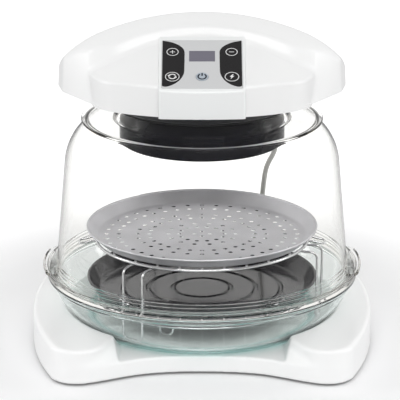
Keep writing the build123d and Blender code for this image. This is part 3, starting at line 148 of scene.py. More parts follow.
def makeFloor():
    f = floorLook
    mesh = bpy.data.meshes.new("floor")
    side, front, back = f["side"], f["front"], f["back"]
    mesh.from_pydata([(-side, front, 0), (side, front, 0), (side, back, 0), (-side, back, 0)], [], [(0, 1, 2, 3)])
    floor = placed("floor", mesh)
    look = bpy.data.materials.new("floorPaper")
    look.use_nodes = True
    tree = look.node_tree
    tree.nodes.clear()
    diffuse = addNode(tree, "BsdfDiffuse", {"Color": (*f["colour"], 1)}).outputs[0]
    place = addNode(tree, "NewGeometry").outputs["Position"]
    away = addNode(tree, "VectorMath", {0: place}, operation="LENGTH").outputs["Value"]
    reach = mapRange(tree, away, f["near"], f["far"], f["nearGlow"], f["farGlow"])
    scale = addNode(tree, "Math", {0: straightSight(tree), 1: reach}, operation="MULTIPLY").outputs[0]
    glow = addNode(tree, "Emission", {"Strength": scale}).outputs[0]
    both = addNode(tree, "AddShader", {0: diffuse, 1: glow}).outputs[0]
    addNode(tree, "OutputMaterial", {"Surface": both})
    mesh.materials.append(look)


# materials

def startLook(name):
    look = bpy.data.materials.new(name)
    look.use_nodes = True
    return look, look.node_tree, look.node_tree.nodes["Principled BSDF"]


def setShader(shader, **values):
    # socket names with their spaces left out
    for socket in shader.inputs:
        plain = socket.name.replace(" ", "")
        if plain in values:
            socket.default_value = values[plain]


def objectNoise(tree, scale, detail, stretch=None):
    place = addNode(tree, "TexCoord").outputs["Object"]
    if stretch:
        place = addNode(tree, "Mapping", {"Vector": place, "Scale": stretch}).outputs["Vector"]
    return addNode(tree, "TexNoise", {"Vector": place, "Scale": scale, "Detail": detail}).outputs["Fac"]


def noiseBump(tree, shader, scale, strength, distance=0.0002, detail=3.0):
    values = {"Height": objectNoise(tree, scale, detail), "Strength": strength, "Distance": distance}
    tree.links.new(addNode(tree, "Bump", values).outputs["Normal"], shader.inputs["Normal"])


def noiseColour(tree, shader, low, high, scale, socket="Base Color", stretch=(1, 1, 1)):
    ramp = addNode(tree, "ValToRGB", {"Fac": objectNoise(tree, scale, 4.0, stretch)})
    for end, place, value in zip(ramp.color_ramp.elements, (0.35, 0.65), (low, high)):
        end.position = place
        end.color = (*value, 1) if isinstance(value, tuple) else (value, value, value, 1)
    tree.links.new(ramp.outputs["Color"], shader.inputs[socket])


def plastic(name, colour, rough, grain, relief, shift, coat=0.0):
    look, tree, shader = startLook(name)
    darker = tuple(max(0.0, c * (1 - shift)) for c in colour)
    noiseColour(tree, shader, darker, colour, 14.0)
    setShader(shader, Roughness=rough, CoatWeight=coat, CoatRoughness=0.06)
    noiseBump(tree, shader, grain, relief)
    return look


def metal(name, colour, rough, brushed=(1, 1, 1), grain=300.0, relief=0.04, spread=0.08):
    look, tree, shader = startLook(name)
    darker = tuple(c * 0.9 for c in colour)
    noiseColour(tree, shader, darker, colour, 30.0, stretch=brushed)
    setShader(shader, Metallic=1.0)
    noiseColour(tree, shader, rough - spread / 2, rough + spread / 2, 60.0, "Roughness", brushed)
    noiseBump(tree, shader, grain, relief)
    return look


def seeThrough(name, colour, bend, ripple=0.0, body=None, depth=0.0, foot=None):
    # glass that lets shadow rays straight through, tinted in its depth and, with foot, at its base
    look, tree, shader = startLook(name)
    setShader(shader, BaseColor=(*colour, 1), Roughness=0.0, IOR=bend, TransmissionWeight=1.0)
    if foot:
        place = {0: addNode(tree, "TexCoord").outputs["Object"], 1: (0, 0, foot["eye"] * mm)}
        away = addNode(tree, "VectorMath", place, operation="DISTANCE").outputs["Value"]
        share = mapRange(tree, away, foot["near"] * mm, foot["far"] * mm, ease="LINEAR")
        tints = {"Factor": share, "A": (*colour, 1), "B": (*foot["colour"], 1)}
        blend = addNode(tree, "Mix", tints, data_type="RGBA")
        tree.links.new(blend.outputs["Result"], shader.inputs["Base Color"])
    if ripple:
        noiseBump(tree, shader, 9.0, ripple, 0.001, 1.0)
    shadow = addNode(tree, "LightPath").outputs["Is Shadow Ray"]
    clear = addNode(tree, "BsdfTransparent", {"Color": (*[0.5 + 0.5 * c for c in colour], 1)}).outputs[0]
    mix = addNode(tree, "MixShader", {0: shadow, 1: shader.outputs[0], 2: clear})
    out = tree.nodes["Material Output"]
    tree.links.new(mix.outputs[0], out.inputs["Surface"])
    if body:
        tint = addNode(tree, "VolumeAbsorption", {"Color": (*body, 1), "Density": depth})
        tree.links.new(tint.outputs[0], out.inputs["Volume"])
    return look


# mesh helpers: outlines are (radius, height) or (x, y) in millimetres

def circleThrough(a, b, c):
    ax, ay, bx, by, cx, cy = *a, *b, *c
    d = 2 * (ax * (by - cy) + bx * (cy - ay) + cx * (ay - by))
    aa, bb, cc = ax * ax + ay * ay, bx * bx + by * by, cx * cx + cy * cy
    ux = (aa * (by - cy) + bb * (cy - ay) + cc * (ay - by)) / d
    uy = (aa * (cx - bx) + bb * (ax - cx) + cc * (bx - ax)) / d
    return ux, uy, math.hypot(ax - ux, ay - uy)


def sweptArc(x, y, radius, start, sweep, count):
    turns = [start + sweep * i / count for i in range(count + 1)]
    return [(x + radius * math.cos(t), y + radius * math.sin(t)) for t in turns]


def arcThrough(a, b, c, count):
    x, y, radius = circleThrough(a, b, c)
    start, middle, end = [math.atan2(py - y, px - x) for px, py in (a, b, c)]
    sweep = (end - start) % (2 * math.pi)
    if (middle - start) % (2 * math.pi) > sweep:
        sweep -= 2 * math.pi
    return sweptArc(x, y, radius, start, sweep, count)


def tangentArc(start, end, way, count):
    # arc from start to end that leaves start along way
    length = math.hypot(*way)
    wx, wy = way[0] / length, way[1] / length
    dx, dy = end[0] - start[0], end[1] - start[1]
    side = wx * dy - wy * dx
    radius = (dx * dx + dy * dy) / (2 * side)
    cx, cy = start[0] - wy * radius, start[1] + wx * radius
    first = math.atan2(start[1] - cy, start[0] - cx)
    last = math.atan2(end[1] - cy, end[0] - cx)
    sweep = (last - first) % (2 * math.pi)
    if radius < 0:
        sweep -= 2 * math.pi
    return sweptArc(cx, cy, abs(radius), first, sweep, count)


def cornerArc(before, corner, after, bend, count):
    # rounds a corner, as far as its two sides leave room
    back, ahead = before - corner, after - corner
    turn = back.angle(ahead)
    cut = min(bend / math.tan(turn / 2), 0.49 * back.length, 0.49 * ahead.length)
    radius = cut * math.tan(turn / 2)
    toBack, toAhead = back.normalized(), ahead.normalized()
    middle = corner + (toBack + toAhead).normalized() * (radius / math.sin(turn / 2))
    first, last = corner + toBack * cut - middle, corner + toAhead * cut - middle
    spread = first.angle(last)
    if spread < 1e-4:
        return [corner]
    line = []
    for step in range(count + 1):
        a, b = [math.sin(share * spread) / math.sin(spread) for share in (1 - step / count, step / count)]
        line.append(middle + first * a + last * b)
    return line


def softCorners(outline, closed=True, count=5):
    # corners given as (x, y, round) become arcs of that radius
    soft = []
    total = len(outline)
    for index, corner in enumerate(outline):
        edge = not closed and index in (0, total - 1)
        if len(corner) == 2 or edge or not corner[2]:
            soft.append(tuple(corner[:2]))
            continue
        before, here, after = [Vector(outline[(index + k) % total][:2]) for k in (-1, 0, 1)]
        soft += [tuple(p) for p in cornerArc(before, here, after, corner[2], count)]
    return soft


def lifted(outline, rise):
    return [(r, z + rise) for r, z in outline]


def smoothed(thing, sharp):
    thing.data.shade_smooth()
    thing.data.set_sharp_from_angle(angle=math.radians(sharp))


def placed(name, data):
    thing = bpy.data.objects.new(name, data)
    scene.collection.objects.link(thing)
    return thing


def between(low, high, count):
    # faces between two rings of count points that start at low and high
    return [(low + k, low + (k + 1) % count, high + (k + 1) % count, high + k) for k in range(count)]


def loftFaces(first, rings, count):
    # sides and both ends of a stack of rings
    faces = [face for k in range(rings - 1) for face in between(first + k * count, first + (k + 1) * count, count)]
    last = first + (rings - 1) * count
    return faces + [tuple(range(first, first + count)), tuple(reversed(range(last, last + count)))]


def meshThing(name, verts, faces, sharp=35.0, weld=True):
    mesh = bpy.data.meshes.new(name)
    mesh.from_pydata([tuple(v) for v in verts], [], [tuple(f) for f in faces])
    tidy = bmesh.new()
    tidy.from_mesh(mesh)
    if weld:
        bmesh.ops.remove_doubles(tidy, verts=tidy.verts, dist=0.000005)
        bmesh.ops.dissolve_degenerate(tidy, dist=0.000001, edges=tidy.edges)
    bmesh.ops.recalc_face_normals(tidy, faces=tidy.faces)
    tidy.to_mesh(mesh)
    tidy.free()
    thing = placed(name, mesh)
    smoothed(thing, sharp)
    return thing


def turned(name, outline, steps, sharp, start=0.0, sweep=360.0):
    # closed outline of (radius, height) turned about the vertical axis
    whole = sweep >= 360
    rings = steps if whole else steps + 1
    verts, faces = [], []
    count = len(outline)
    for ring in range(rings):
        turn = math.radians(start + sweep * ring / steps)
        c, s = math.cos(turn), math.sin(turn)
        verts += [(r * c * mm, r * s * mm, z * mm) for r, z in outline]
    for ring in range(steps):
        faces += between(ring * count, (ring + 1) % rings * count, count)
    if not whole:
        faces.append(tuple(range(count)))
        faces.append(tuple((rings - 1) * count + k for k in reversed(range(count))))
    return meshThing(name, verts, faces, sharp)


def addCurve(name, radius, rings=5):
    curve = bpy.data.curves.new(name, "CURVE")
    curve.dimensions = "3D"
    curve.bevel_depth = radius
    curve.bevel_resolution = rings
    curve.use_fill_caps = True
    return curve


def addSpline(curve, kind, points):
    spline = curve.splines.new(kind)
    spline.points.add(len(points) - 1)
    for point, place in zip(spline.points, points):
        point.co = (*place, 1)
    return spline


def wires(name, runs, radius, rings=5):
    # round wires: runs of (points in metres, closed)
    curve = addCurve(name, radius, rings)
    for points, closed in runs:
        spline = addSpline(curve, "POLY", points)
        spline.use_cyclic_u = closed
        spline.use_smooth = True
    return placed(name, curve)


def bentRun(points, bend, count=7):
    # wire centre line with rounded bends
    places = [Vector(p) for p in points]
    line = [places[0]]
    for before, corner, after in zip(places, places[1:], places[2:]):
        line += cornerArc(before, corner, after, bend, count)
    return line + [places[-1]]


def around(points, angle):
    turn = Matrix.Rotation(math.radians(angle), 3, "Z")
    return [turn @ Vector(p) for p in points]


def circleLine(radius, count=48):
    return sweptArc(0, 0, radius, 0, 2 * math.pi, count)[:-1]


def ringLine(radius, height, count=160):
    return [(x, y, height * mm) for x, y in circleLine(radius * mm, count)]


def apply(thing):
    # bake the modifiers into the mesh
    bpy.context.view_layer.update()
    graph = bpy.context.evaluated_depsgraph_get()
    made = bpy.data.meshes.new_from_object(thing.evaluated_get(graph))
    old = thing.data
    thing.modifiers.clear()
    thing.data = made
    if old.users == 0:
        bpy.data.meshes.remove(old)


def cutAway(thing, cutter, mode="DIFFERENCE"):
    change = thing.modifiers.new("cut", "BOOLEAN")
    change.operation = mode
    change.object = cutter
    change.solver = "EXACT"
    apply(thing)
    bpy.data.objects.remove(cutter)


def finishPiece(thing, look, body, slotName, *cadNodes):
    thing.data.materials.clear()
    thing.data.materials.append(look)
    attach(thing, body)
    if cadNodes:
        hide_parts(*cadNodes)


def dressNode(look, *names):
    for name in names:
        data = nodes[name].data
        data.materials.clear()
        data.materials.append(look)


# cord, from the gland behind the head down to its coil on the table

cordShape = {
    "thick": 0.007,
    "gland": {"x": 74.0, "rise": 17.0, "reach": 33.0, "lead": 18.0, "hole": 6.2},
    "rearArc": ((-188.0, 45.0), (0.0, 130.0), (188.0, 45.0)),  # head's rear wall in plan
    "headBase": 328.3,
    "route": [  # the free stretch, in metres
        (0.0940, 0.1836, 0.3389), (0.0980, 0.1963, 0.3268), (0.1004, 0.2041, 0.3108), (0.1010, 0.2059, 0.2929),
        (0.1025, 0.2030, 0.2640), (0.1045, 0.1970, 0.2270), (0.1035, 0.1900, 0.1960), (0.0895, 0.1875, 0.1750),
        (0.0860, 0.1890, 0.1480), (0.0840, 0.1960, 0.1215), (0.0820, 0.2040, 0.0960), (0.0780, 0.2105, 0.0710),
        (0.0710, 0.2150, 0.0470), (0.0595, 0.2175, 0.0275), (0.0430, 0.2175, 0.0140), (0.0220, 0.2154, 0.0076)],
    "coilMiddle": (20.0, 257.0),
    "inner": 34.4,  # strand radii and heights
    "outer": 41.7,
    "low": 4.6,
    "high": 11.7,
    "landing": 7.4,  # height where the free stretch meets the coil
    "startAngle": -87.0,
    "wound": 1113.0,  # degrees
    "turnPoints": 16,
    "tailAngle": 240.0,
    "tail": 40.0,
    "tailPoints": ((12, 11.6), (22, 10.2), (31, 9.2)),  # along and height, from the coil to the plug
    "plugHeight": 9.0,
}


def glandTip():
    gland = cordShape["gland"]
    ux, uy, radius = circleThrough(*cordShape["rearArc"])
    y = uy + math.sqrt(radius ** 2 - (gland["x"] - ux) ** 2)
    way = Vector(((gland["x"] - ux) / radius, (y - uy) / radius, 0))
    wall = Vector((gland["x"], y, cordShape["headBase"] + gland["rise"]))
    return (wall + way * gland["reach"]) * mm, way


def easeBetween(value, marks):
    # marks are (degrees wound, height or radius), eased between them
    if value <= marks[0][0]:
        return marks[0][1]
    for (a, low), (b, high) in zip(marks, marks[1:]):
        if value <= b:
            share = (value - a) / (b - a)
            share = share * share * (3 - 2 * share)
            return low + (high - low) * share
    return marks[-1][1]


def coilLine():
    # outer low, inner low, inner high and outer high strands, wound clockwise seen from above
    shape = cordShape
    inner, outer, low, high = shape["inner"], shape["outer"], shape["low"], shape["high"]
    radii = [(0, outer), (325, outer), (352, inner), (1083, inner), (1108, outer)]
    heights = [(0, shape["landing"]), (28, low), (662, low), (700, high)]
    count = round(shape["wound"] * shape["turnPoints"] / 360)
    cx, cy = shape["coilMiddle"]
    line = []
    for index in range(1, count + 1):
        turn = shape["wound"] * index / count
        angle = math.radians(shape["startAngle"] - turn)
        radius = easeBetween(turn, radii)
        x, y = cx + radius * math.cos(angle), cy + radius * math.sin(angle)
        line.append(Vector((x, y, easeBetween(turn, heights))) * mm)
    return line


def plugFrame():
    # start, direction along the plug, direction across it
    turn = math.radians(cordShape["tailAngle"])
    cx, cy = cordShape["coilMiddle"]
    strand = cordShape["outer"] - 0.1
    start = Vector((cx + strand * math.cos(turn), cy + strand * math.sin(turn), cordShape["plugHeight"]))
    way = Vector((math.sin(turn), -math.cos(turn), 0))
    return (start + way * cordShape["tail"]) * mm, way, Vector((-way.y, way.x, 0))


def makeCord(look):
    tip, way = glandTip()
    plugStart, plugWay, _ = plugFrame()
    lead = tip + way * cordShape["gland"]["lead"] * mm
    points = [tip, lead] + [Vector(p) for p in cordShape["route"]] + coilLine()
    for along, height in cordShape["tailPoints"]:
        place = plugStart - plugWay * (cordShape["tail"] - along) * mm
        points.append(Vector((place.x, place.y, height * mm)))
    points.append(plugStart + plugWay * 0.002)
    curve = addCurve("mainsCord", cordShape["thick"] / 2)
    curve.resolution_u = 5
    spline = addSpline(curve, "NURBS", points)
    spline.order_u = 3
    spline.use_endpoint_u = True
    thing = placed("mainsCord", curve)
    finishPiece(thing, look, "head", "cord_jacket", "power_cord", "cord_coil")
    return thing, tip


plugShape = {
    # along, height, width and corner round of each section
    "sections": [
        (0.0, 9.6, 9.8, 4.6), (1.5, 11.2, 12.2, 5.0), (6.0, 12.6, 15.6, 5.2), (10.0, 14.0, 19.0, 5.4),
        (14.0, 15.4, 21.6, 5.6), (19.0, 17.2, 24.6, 6.0), (23.0, 17.8, 25.8, 6.0), (27.0, 17.6, 25.6, 6.0),
        (31.0, 17.9, 25.9, 6.0), (33.2, 17.7, 25.7, 6.0), (34.0, 16.6, 24.6, 5.6)],
    "ridges": (20.2, 22.4, 24.6, 26.8, 29.0),
    "ridgeDepth": 0.55,
    "relief": 11.0, "reliefRings": 4, "reliefBore": 3.4, "reliefTip": 4.1, "reliefBack": 4.7,
    "reliefWide": 4.3, "reliefFlare": 0.4, "reliefCut": 0.9,
}


def roundedRing(height, width, corner, perCorner=7):
    ring = []
    for quarter, (sx, sy) in enumerate(((1, 1), (-1, 1), (-1, -1), (1, -1))):
        for step in range(perCorner + 1):
            turn = math.pi / 2 * (quarter + step / perCorner)
            x = sx * (width / 2 - corner) + corner * math.cos(turn)
            ring.append((x, sy * (height / 2 - corner) + corner * math.sin(turn)))
    return ring


def loftRings(name, rings, sharp=40.0):
    # closed skin over rings of points that have equal counts
    return meshThing(name, [p for ring in rings for p in ring], loftFaces(0, len(rings), len(rings[0])), sharp)


def setOut(place, right, up, ring):
    return [(place + right * x + up * y) * mm for x, y in ring]


def makePlug(look):
    start, way, across = plugFrame()
    up = Vector((0, 0, 1))

    sections = plugShape["sections"]
    alongs = sorted({s[0] for s in sections} | {r + d for r in plugShape["ridges"] for d in (-0.7, -0.3, 0.3, 0.7)})
    rings = []
    for along in alongs:
        for before, after in zip(sections, sections[1:]):
            if before[0] <= along <= after[0]:
                share = (along - before[0]) / (after[0] - before[0])
                height, width, corner = [b + (a - b) * share for b, a in zip(before[1:], after[1:])]
                break
        groove = plugShape["ridgeDepth"] if any(abs(along - r) < 0.5 for r in plugShape["ridges"]) else 0
        ring = roundedRing(height - 2 * groove, width - 2 * groove, corner)
        rings.append([start + place for place in setOut(way * along, across, up, ring)])
    plug = loftRings("mainsPlug", rings)
    finishPiece(plug, look, "head", "plug_plastic", "power_plug")

    p = plugShape
    reach, rings, cut = p["relief"], p["reliefRings"], p["reliefCut"]
    outline = [(p["reliefBore"], -reach), (p["reliefTip"], -reach)]
    pitch = (reach - 1.0) / rings
    for index in range(rings):
        low = -reach + 0.8 + index * pitch
        wide = p["reliefWide"] + p["reliefFlare"] * index / rings
        outline += [(wide - inset, low + pitch * part) for inset, part in ((0, 0), (0, 0.55), (cut, 0.62), (cut, 0.93))]
    outline += [(p["reliefBack"], 0.4), (p["reliefBore"], 0.4)]
    relief = turned("plugRelief", outline, 32, 40)
    basis = Matrix((across, way.cross(across), way)).transposed().to_4x4()
    relief.matrix_world = Matrix.Translation(start) @ basis
    finishPiece(relief, look, "head", "plug_plastic")
    return [plug, relief]


tieShape = {"angle": 40.0, "wide": 4.6, "thick": 1.1, "gap": 0.25, "lock": (6.4, 5.2, 4.2), "tail": 9.0}


def makeTie(look):
    # cable tie round the coil's four strands
    cx, cy = cordShape["coilMiddle"]
    middle = (cordShape["inner"] + cordShape["outer"]) / 2
    height = (cordShape["low"] + cordShape["high"]) / 2
    clear = cordShape["thick"] / 2 / mm + tieShape["gap"]
    reach = (cordShape["outer"] - cordShape["inner"]) / 2 + clear
    rise = (cordShape["high"] - cordShape["low"]) / 2 + clear
    turn = math.radians(tieShape["angle"])
    out = Vector((math.cos(turn), math.sin(turn), 0))
    side = Vector((-math.sin(turn), math.cos(turn), 0))
    up = Vector((0, 0, 1))
    centre = Vector((cx, cy, height)) + out * middle
    rings = []
    for grow in (0.0, tieShape["thick"]):
        line = roundedRing(2 * (rise + grow), 2 * (reach + grow), 3.4 + grow)
        for edge in (-1, 1):
            strapEdge = centre + side * edge * tieShape["wide"] / 2
            rings.append(setOut(strapEdge, out, up, line))
    verts = [p for k in (0, 1, 3, 2) for p in rings[k]]
    count = len(rings[0])
    faces = [face for k in range(4) for face in between(k * count, (k + 1) % 4 * count, count)]
    tie = meshThing("cordTie", verts, faces, 40)
    finishPiece(tie, look, "head", "cord_jacket", "cord_tie")

    lockLong, lockWide, lockHigh = tieShape["lock"]
    top = centre + up * (rise + tieShape["thick"])
    # lock head and the strap's free end
    rings = []
    for along, shrink in ((-0.5, 0.5), (-0.42, 0.0), (0.42, 0.0), (0.5, 0.5)):
        base = top + out * along * lockLong + up * (lockHigh / 2 - 0.4)
        rings.append(setOut(base, side, up, roundedRing(lockHigh - shrink, lockWide - shrink, 0.8, 3)))
    lock = loftRings("tieLock", rings)
    finishPiece(lock, look, "head", "cord_jacket")
    rings = []
    tail, steps, curl = tieShape["tail"], 8, 1.1
    for step in range(steps + 1):
        bend = curl * step / steps
        sag = tail * (1 - math.cos(bend)) * 0.55
        base = top + out * (lockLong / 2 + tail * math.sin(bend) / curl) + up * (lockHigh / 2 + 0.1 - sag)
        wide = tieShape["wide"] * {steps - 1: 0.8, steps: 0.5}.get(step, 1)  # pointed end
        across = up * math.cos(bend) + out * math.sin(bend)
        rings.append(setOut(base, side, across, roundedRing(1.0, wide, 0.35, 2)))
    strap = loftRings("tieEnd", rings)
    finishPiece(strap, look, "head", "cord_jacket")
    return [tie, lock, strap]


# base tray

trayFeel = {"voxel": 0.0020, "smoothing": 5, "strength": 0.55}


def makeTray(look):
    source = nodes["base_tray"]
    mesh = source.data.copy()
    tray = placed("baseTray", mesh)
    weld = tray.modifiers.new("weld", "WELD")
    weld.merge_threshold = 0.00002
    remesh = tray.modifiers.new("remesh", "REMESH")
    remesh.mode = "VOXEL"
    remesh.voxel_size = trayFeel["voxel"]
    remesh.use_smooth_shade = True
    smooth = tray.modifiers.new("smooth", "SMOOTH")
    smooth.factor = trayFeel["strength"]
    smooth.iterations = trayFeel["smoothing"]
    apply(tray)
    tray.data.shade_smooth()
    print("tray faces", len(tray.data.polygons))
    finishPiece(tray, look, "base", "white_plastic", "base_tray")


# glass bowl

bowlShape = {
    "floorRadius": 150.0, "belly": (178.5, 22.7), "mouth": (196.5, 58.7), "rimRadius": 202.5, "rimTop": 64.7,
    "rimThick": 4.0, "wall": 5.5, "base": 25.3, "rimRound": 1.9,
}


def makeBowl(look):
    b = bowlShape
    floor, wall, rim, top, bend = b["floorRadius"], b["wall"], b["rimRadius"], b["rimTop"], b["rimRound"]
    (bellyR, bellyZ), (mouthR, mouthZ) = b["belly"], b["mouth"]
    outer = arcThrough((floor, 0), b["belly"], b["mouth"], 28)
    inner = arcThrough((floor - 3, wall), (bellyR - wall, bellyZ + 1.8), (mouthR - wall, mouthZ), 28)
    bead = mouthR - 1.4
    outline = [(0, 0), (floor - 9, 0), (floor - 7, 0.5), (floor - 3.0, 0.0, 1.5), *outer[2:-3]]
    outline += [
        (bead, mouthZ - 4.2, 0.5), (bead + 1.9, mouthZ - 3.2, 0.8), (bead + 1.3, mouthZ - 1.6, 0.5),
        (mouthR, mouthZ, 1.0), (rim, top - b["rimThick"], bend), (rim, top, bend), (mouthR - wall + 0.5, top, bend)]
    outline += inner[-2:0:-1] + [(floor - 8, wall), (0, wall)]
    bowl = turned("glassBowl", lifted(softCorners(outline), b["base"]), 224, 50)
    finishPiece(bowl, look, "bowl", "bowl_glass", "glass_bowl")


# wire racks

rackShape = {
    "ringWire": 2.0, "barWire": 1.5, "weld": 0.3, "barPast": 0.5, "barPitch": 28.0, "barCount": 9, "legBend": 8.0,
    "lowBarTop": 59.7, "lowRing": 136.0, "lowInnerRing": 108.0, "lowFootWidth": 19.0, "lowFeet": (-115, 5, 125),
    "lowSole": 32.6, "highRingTop": 136.2, "highBarTop": 137.2, "highRing": 138.5,
    "highLeg": 158.0, "legWidth": 29.0, "highLegs": (-123.5, -16, 109),
    "handleReach": 161.0, "handleWidth": 18.0, "handleDrop": 4.0, "handleBend": 4.0,
}


def rackBars(radius, height):
    shape = rackShape
    runs = []
    for index in range(shape["barCount"]):
        x = (index - (shape["barCount"] - 1) / 2) * shape["barPitch"]
        half = math.sqrt((radius + shape["barPast"]) ** 2 - x * x)
        runs.append(([(x * mm, y * mm, height * mm) for y in np.linspace(-half, half, 9)], False))
    return runs


def legRuns(half, bend, angles):
    # half of a leg as (reach, width, height), mirrored, bent and set at each angle
    points = half + [(reach, -wide, height) for reach, wide, height in reversed(half)]
    return [(around(bentRun([Vector(p) * mm for p in points], bend * mm), angle), False) for angle in angles]


def makeRacks(look):
    s = rackShape
    bar, ring, weld = s["barWire"], s["ringWire"], s["weld"]

    def add(name, runs, thick, *cadNodes):
        body = "low_rack" if name.startswith("low") else "high_rack"
        finishPiece(wires(name, runs, thick * mm), look, body, "chromed_wire", *cadNodes)

    barLow = s["lowBarTop"] - bar
    add("lowRackRing", [(ringLine(s["lowRing"], barLow - bar - ring + weld), True)], ring, "low_rack_rings")
    add("lowRackInnerRing", [(ringLine(s["lowInnerRing"], barLow - 2 * bar + weld), True)], bar)
    add("lowRackBars", rackBars(s["lowRing"], barLow), bar, "low_rack_bars")
    half, radius = s["lowFootWidth"] / 2, s["lowInnerRing"]
    foot = [(radius, -half, barLow - 3 * bar + 2 * weld), (radius, -half, s["lowSole"])]
    add("lowRackFeet", legRuns(foot, s["legBend"], s["lowFeet"]), bar, "low_rack_feet")

    add("highRackRing", [(ringLine(s["highRing"], s["highRingTop"] - ring), True)], ring, "high_rack_ring")
    add("highRackBars", rackBars(s["highRing"], s["highBarTop"] - bar), bar, "high_rack_bars")
    wireZ = s["highRingTop"] - 2 * ring - bar + weld
    half, reach, inside = s["legWidth"] / 2, s["highLeg"], s["highRing"] - 6
    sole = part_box("high_rack_legs")[0].z / mm + bar
    leg = [(inside, -half, wireZ), (reach, -half, wireZ), (reach, -half, sole)]
    add("highRackLegs", legRuns(leg, s["legBend"], s["highLegs"]), bar, "high_rack_legs")
    half, low = s["handleWidth"] / 2, wireZ - s["handleDrop"]
    inside, shoulder = s["highRing"] - 4, s["highRing"] + 6
    grip = [(inside, -half, wireZ), (shoulder, -half, wireZ), (s["handleReach"], -half, low)]
    add("highRackHandles", legRuns(grip, s["handleBend"], (0, 180)), bar, "high_rack_handles")


# enamelled liner with its pressed grooves

linerShape = {
    "base": 60.0, "floorRadius": 136.0, "rimRadius": 151.0, "depth": 24.0, "floorThick": 3.4, "bead": 1.6,
    "grooves": (104.0, 71.0, 38.0), "grooveWide": 7.0, "grooveDeep": 3.0, "pastGroove": 16.0,
}


def makeLiner(look):
    s = linerShape
    z, bead, floor = s["base"], s["bead"], s["base"] + s["floorThick"]
    lip, top = s["rimRadius"] - bead, z + s["depth"]
    outline = softCorners([(0, z), (s["floorRadius"], z, 7), (lip - 0.4, top - bead)], closed=False)
    outline += sweptArc(lip, top - bead, bead, -1.5, 4.1, 13)
    inside = [(lip - 1.9, top - bead - 1.0), (s["floorRadius"] - 1.2, floor, 8), (0, floor)]
    outline += softCorners(inside, closed=False)[:-1]
    for radius in s["grooves"]:
        for across in np.linspace(s["grooveWide"] / 2, -s["grooveWide"] / 2, 11):
            dip = s["grooveDeep"] * max(math.cos(math.pi * across / s["grooveWide"]), 0) ** 0.9
            outline.append((radius + across, floor - dip))
        outline.append((radius - s["pastGroove"], floor))
    outline.append((0.0, floor))
    finishPiece(turned("linerPan", outline, 240, 32), look, "liner", "liner_enamel", "liner_pan")


# perforated pan

panShape = {
    "base": 137.5, "floorRadius": 136.5, "rimRadius": 151.0, "depth": 15.3, "sheet": 0.45, "bead": 1.5,
    "holeRadius": 3.0, "holeSides": 20,
    "holes": ((10, 4), (30, 14), (44, 14), (69, 28), (84, 28), (109, 40), (125, 40)),  # circle radius, count
}


def makePan(look):
    s = panShape
    z, bead, floor = s["base"], s["bead"], s["floorRadius"]
    lip, top = s["rimRadius"] - bead, z + s["depth"]
    outline = softCorners([(0, z), (floor, z, 6), (lip - 0.3, top - bead - 1.2)], closed=False)
    outline += sweptArc(lip, top - bead, bead, -1.7, 4.4, 15)
    inside = [(lip - 1.3, top - bead - 0.6), (floor - 0.6, z + s["sheet"], 7), (0, z + s["sheet"])]
    pan = turned("bakingPan", outline + softCorners(inside, closed=False), 224, 40)
    verts, faces = [], []
    for radius, count in s["holes"]:
        for cx, cy in circleLine(radius, count):
            faces += loftFaces(len(verts), 2, s["holeSides"])
            for height in (z - 2, z + 4):
                hole = circleLine(s["holeRadius"], s["holeSides"])
                verts += [((cx + x) * mm, (cy + y) * mm, height * mm) for x, y in hole]
    punch = meshThing("punch", verts, faces)
    cutAway(pan, punch)
    smoothed(pan, 38)
    finishPiece(pan, look, "pan", "pan_metal", "pizza_pan")


# clear dome

domeShape = {
    "base": 90.3, "wall": 3.0, "flange": 203.0, "flangeThick": 4.0, "lipDepth": 6.0, "lipOuter": 190.8,
    "edgeHeight": 10.5, "edgeWall": 2.5, "foot": 191.0,
    "shoulder": (178.0, 150.0), "crown": (150.0, 201.0), "collar": (156.0, 205.0),
    "neck": 114.0, "neckHeight": 20.0, "earReach": 208.5, "earSpan": 26.0, "earHeight": 13.0,
    "ridges": (197.6, 194.2), "ridgeHeight": 1.1, "bands": (8.5, 13.0, 17.5), "bandProud": 1.1,
}


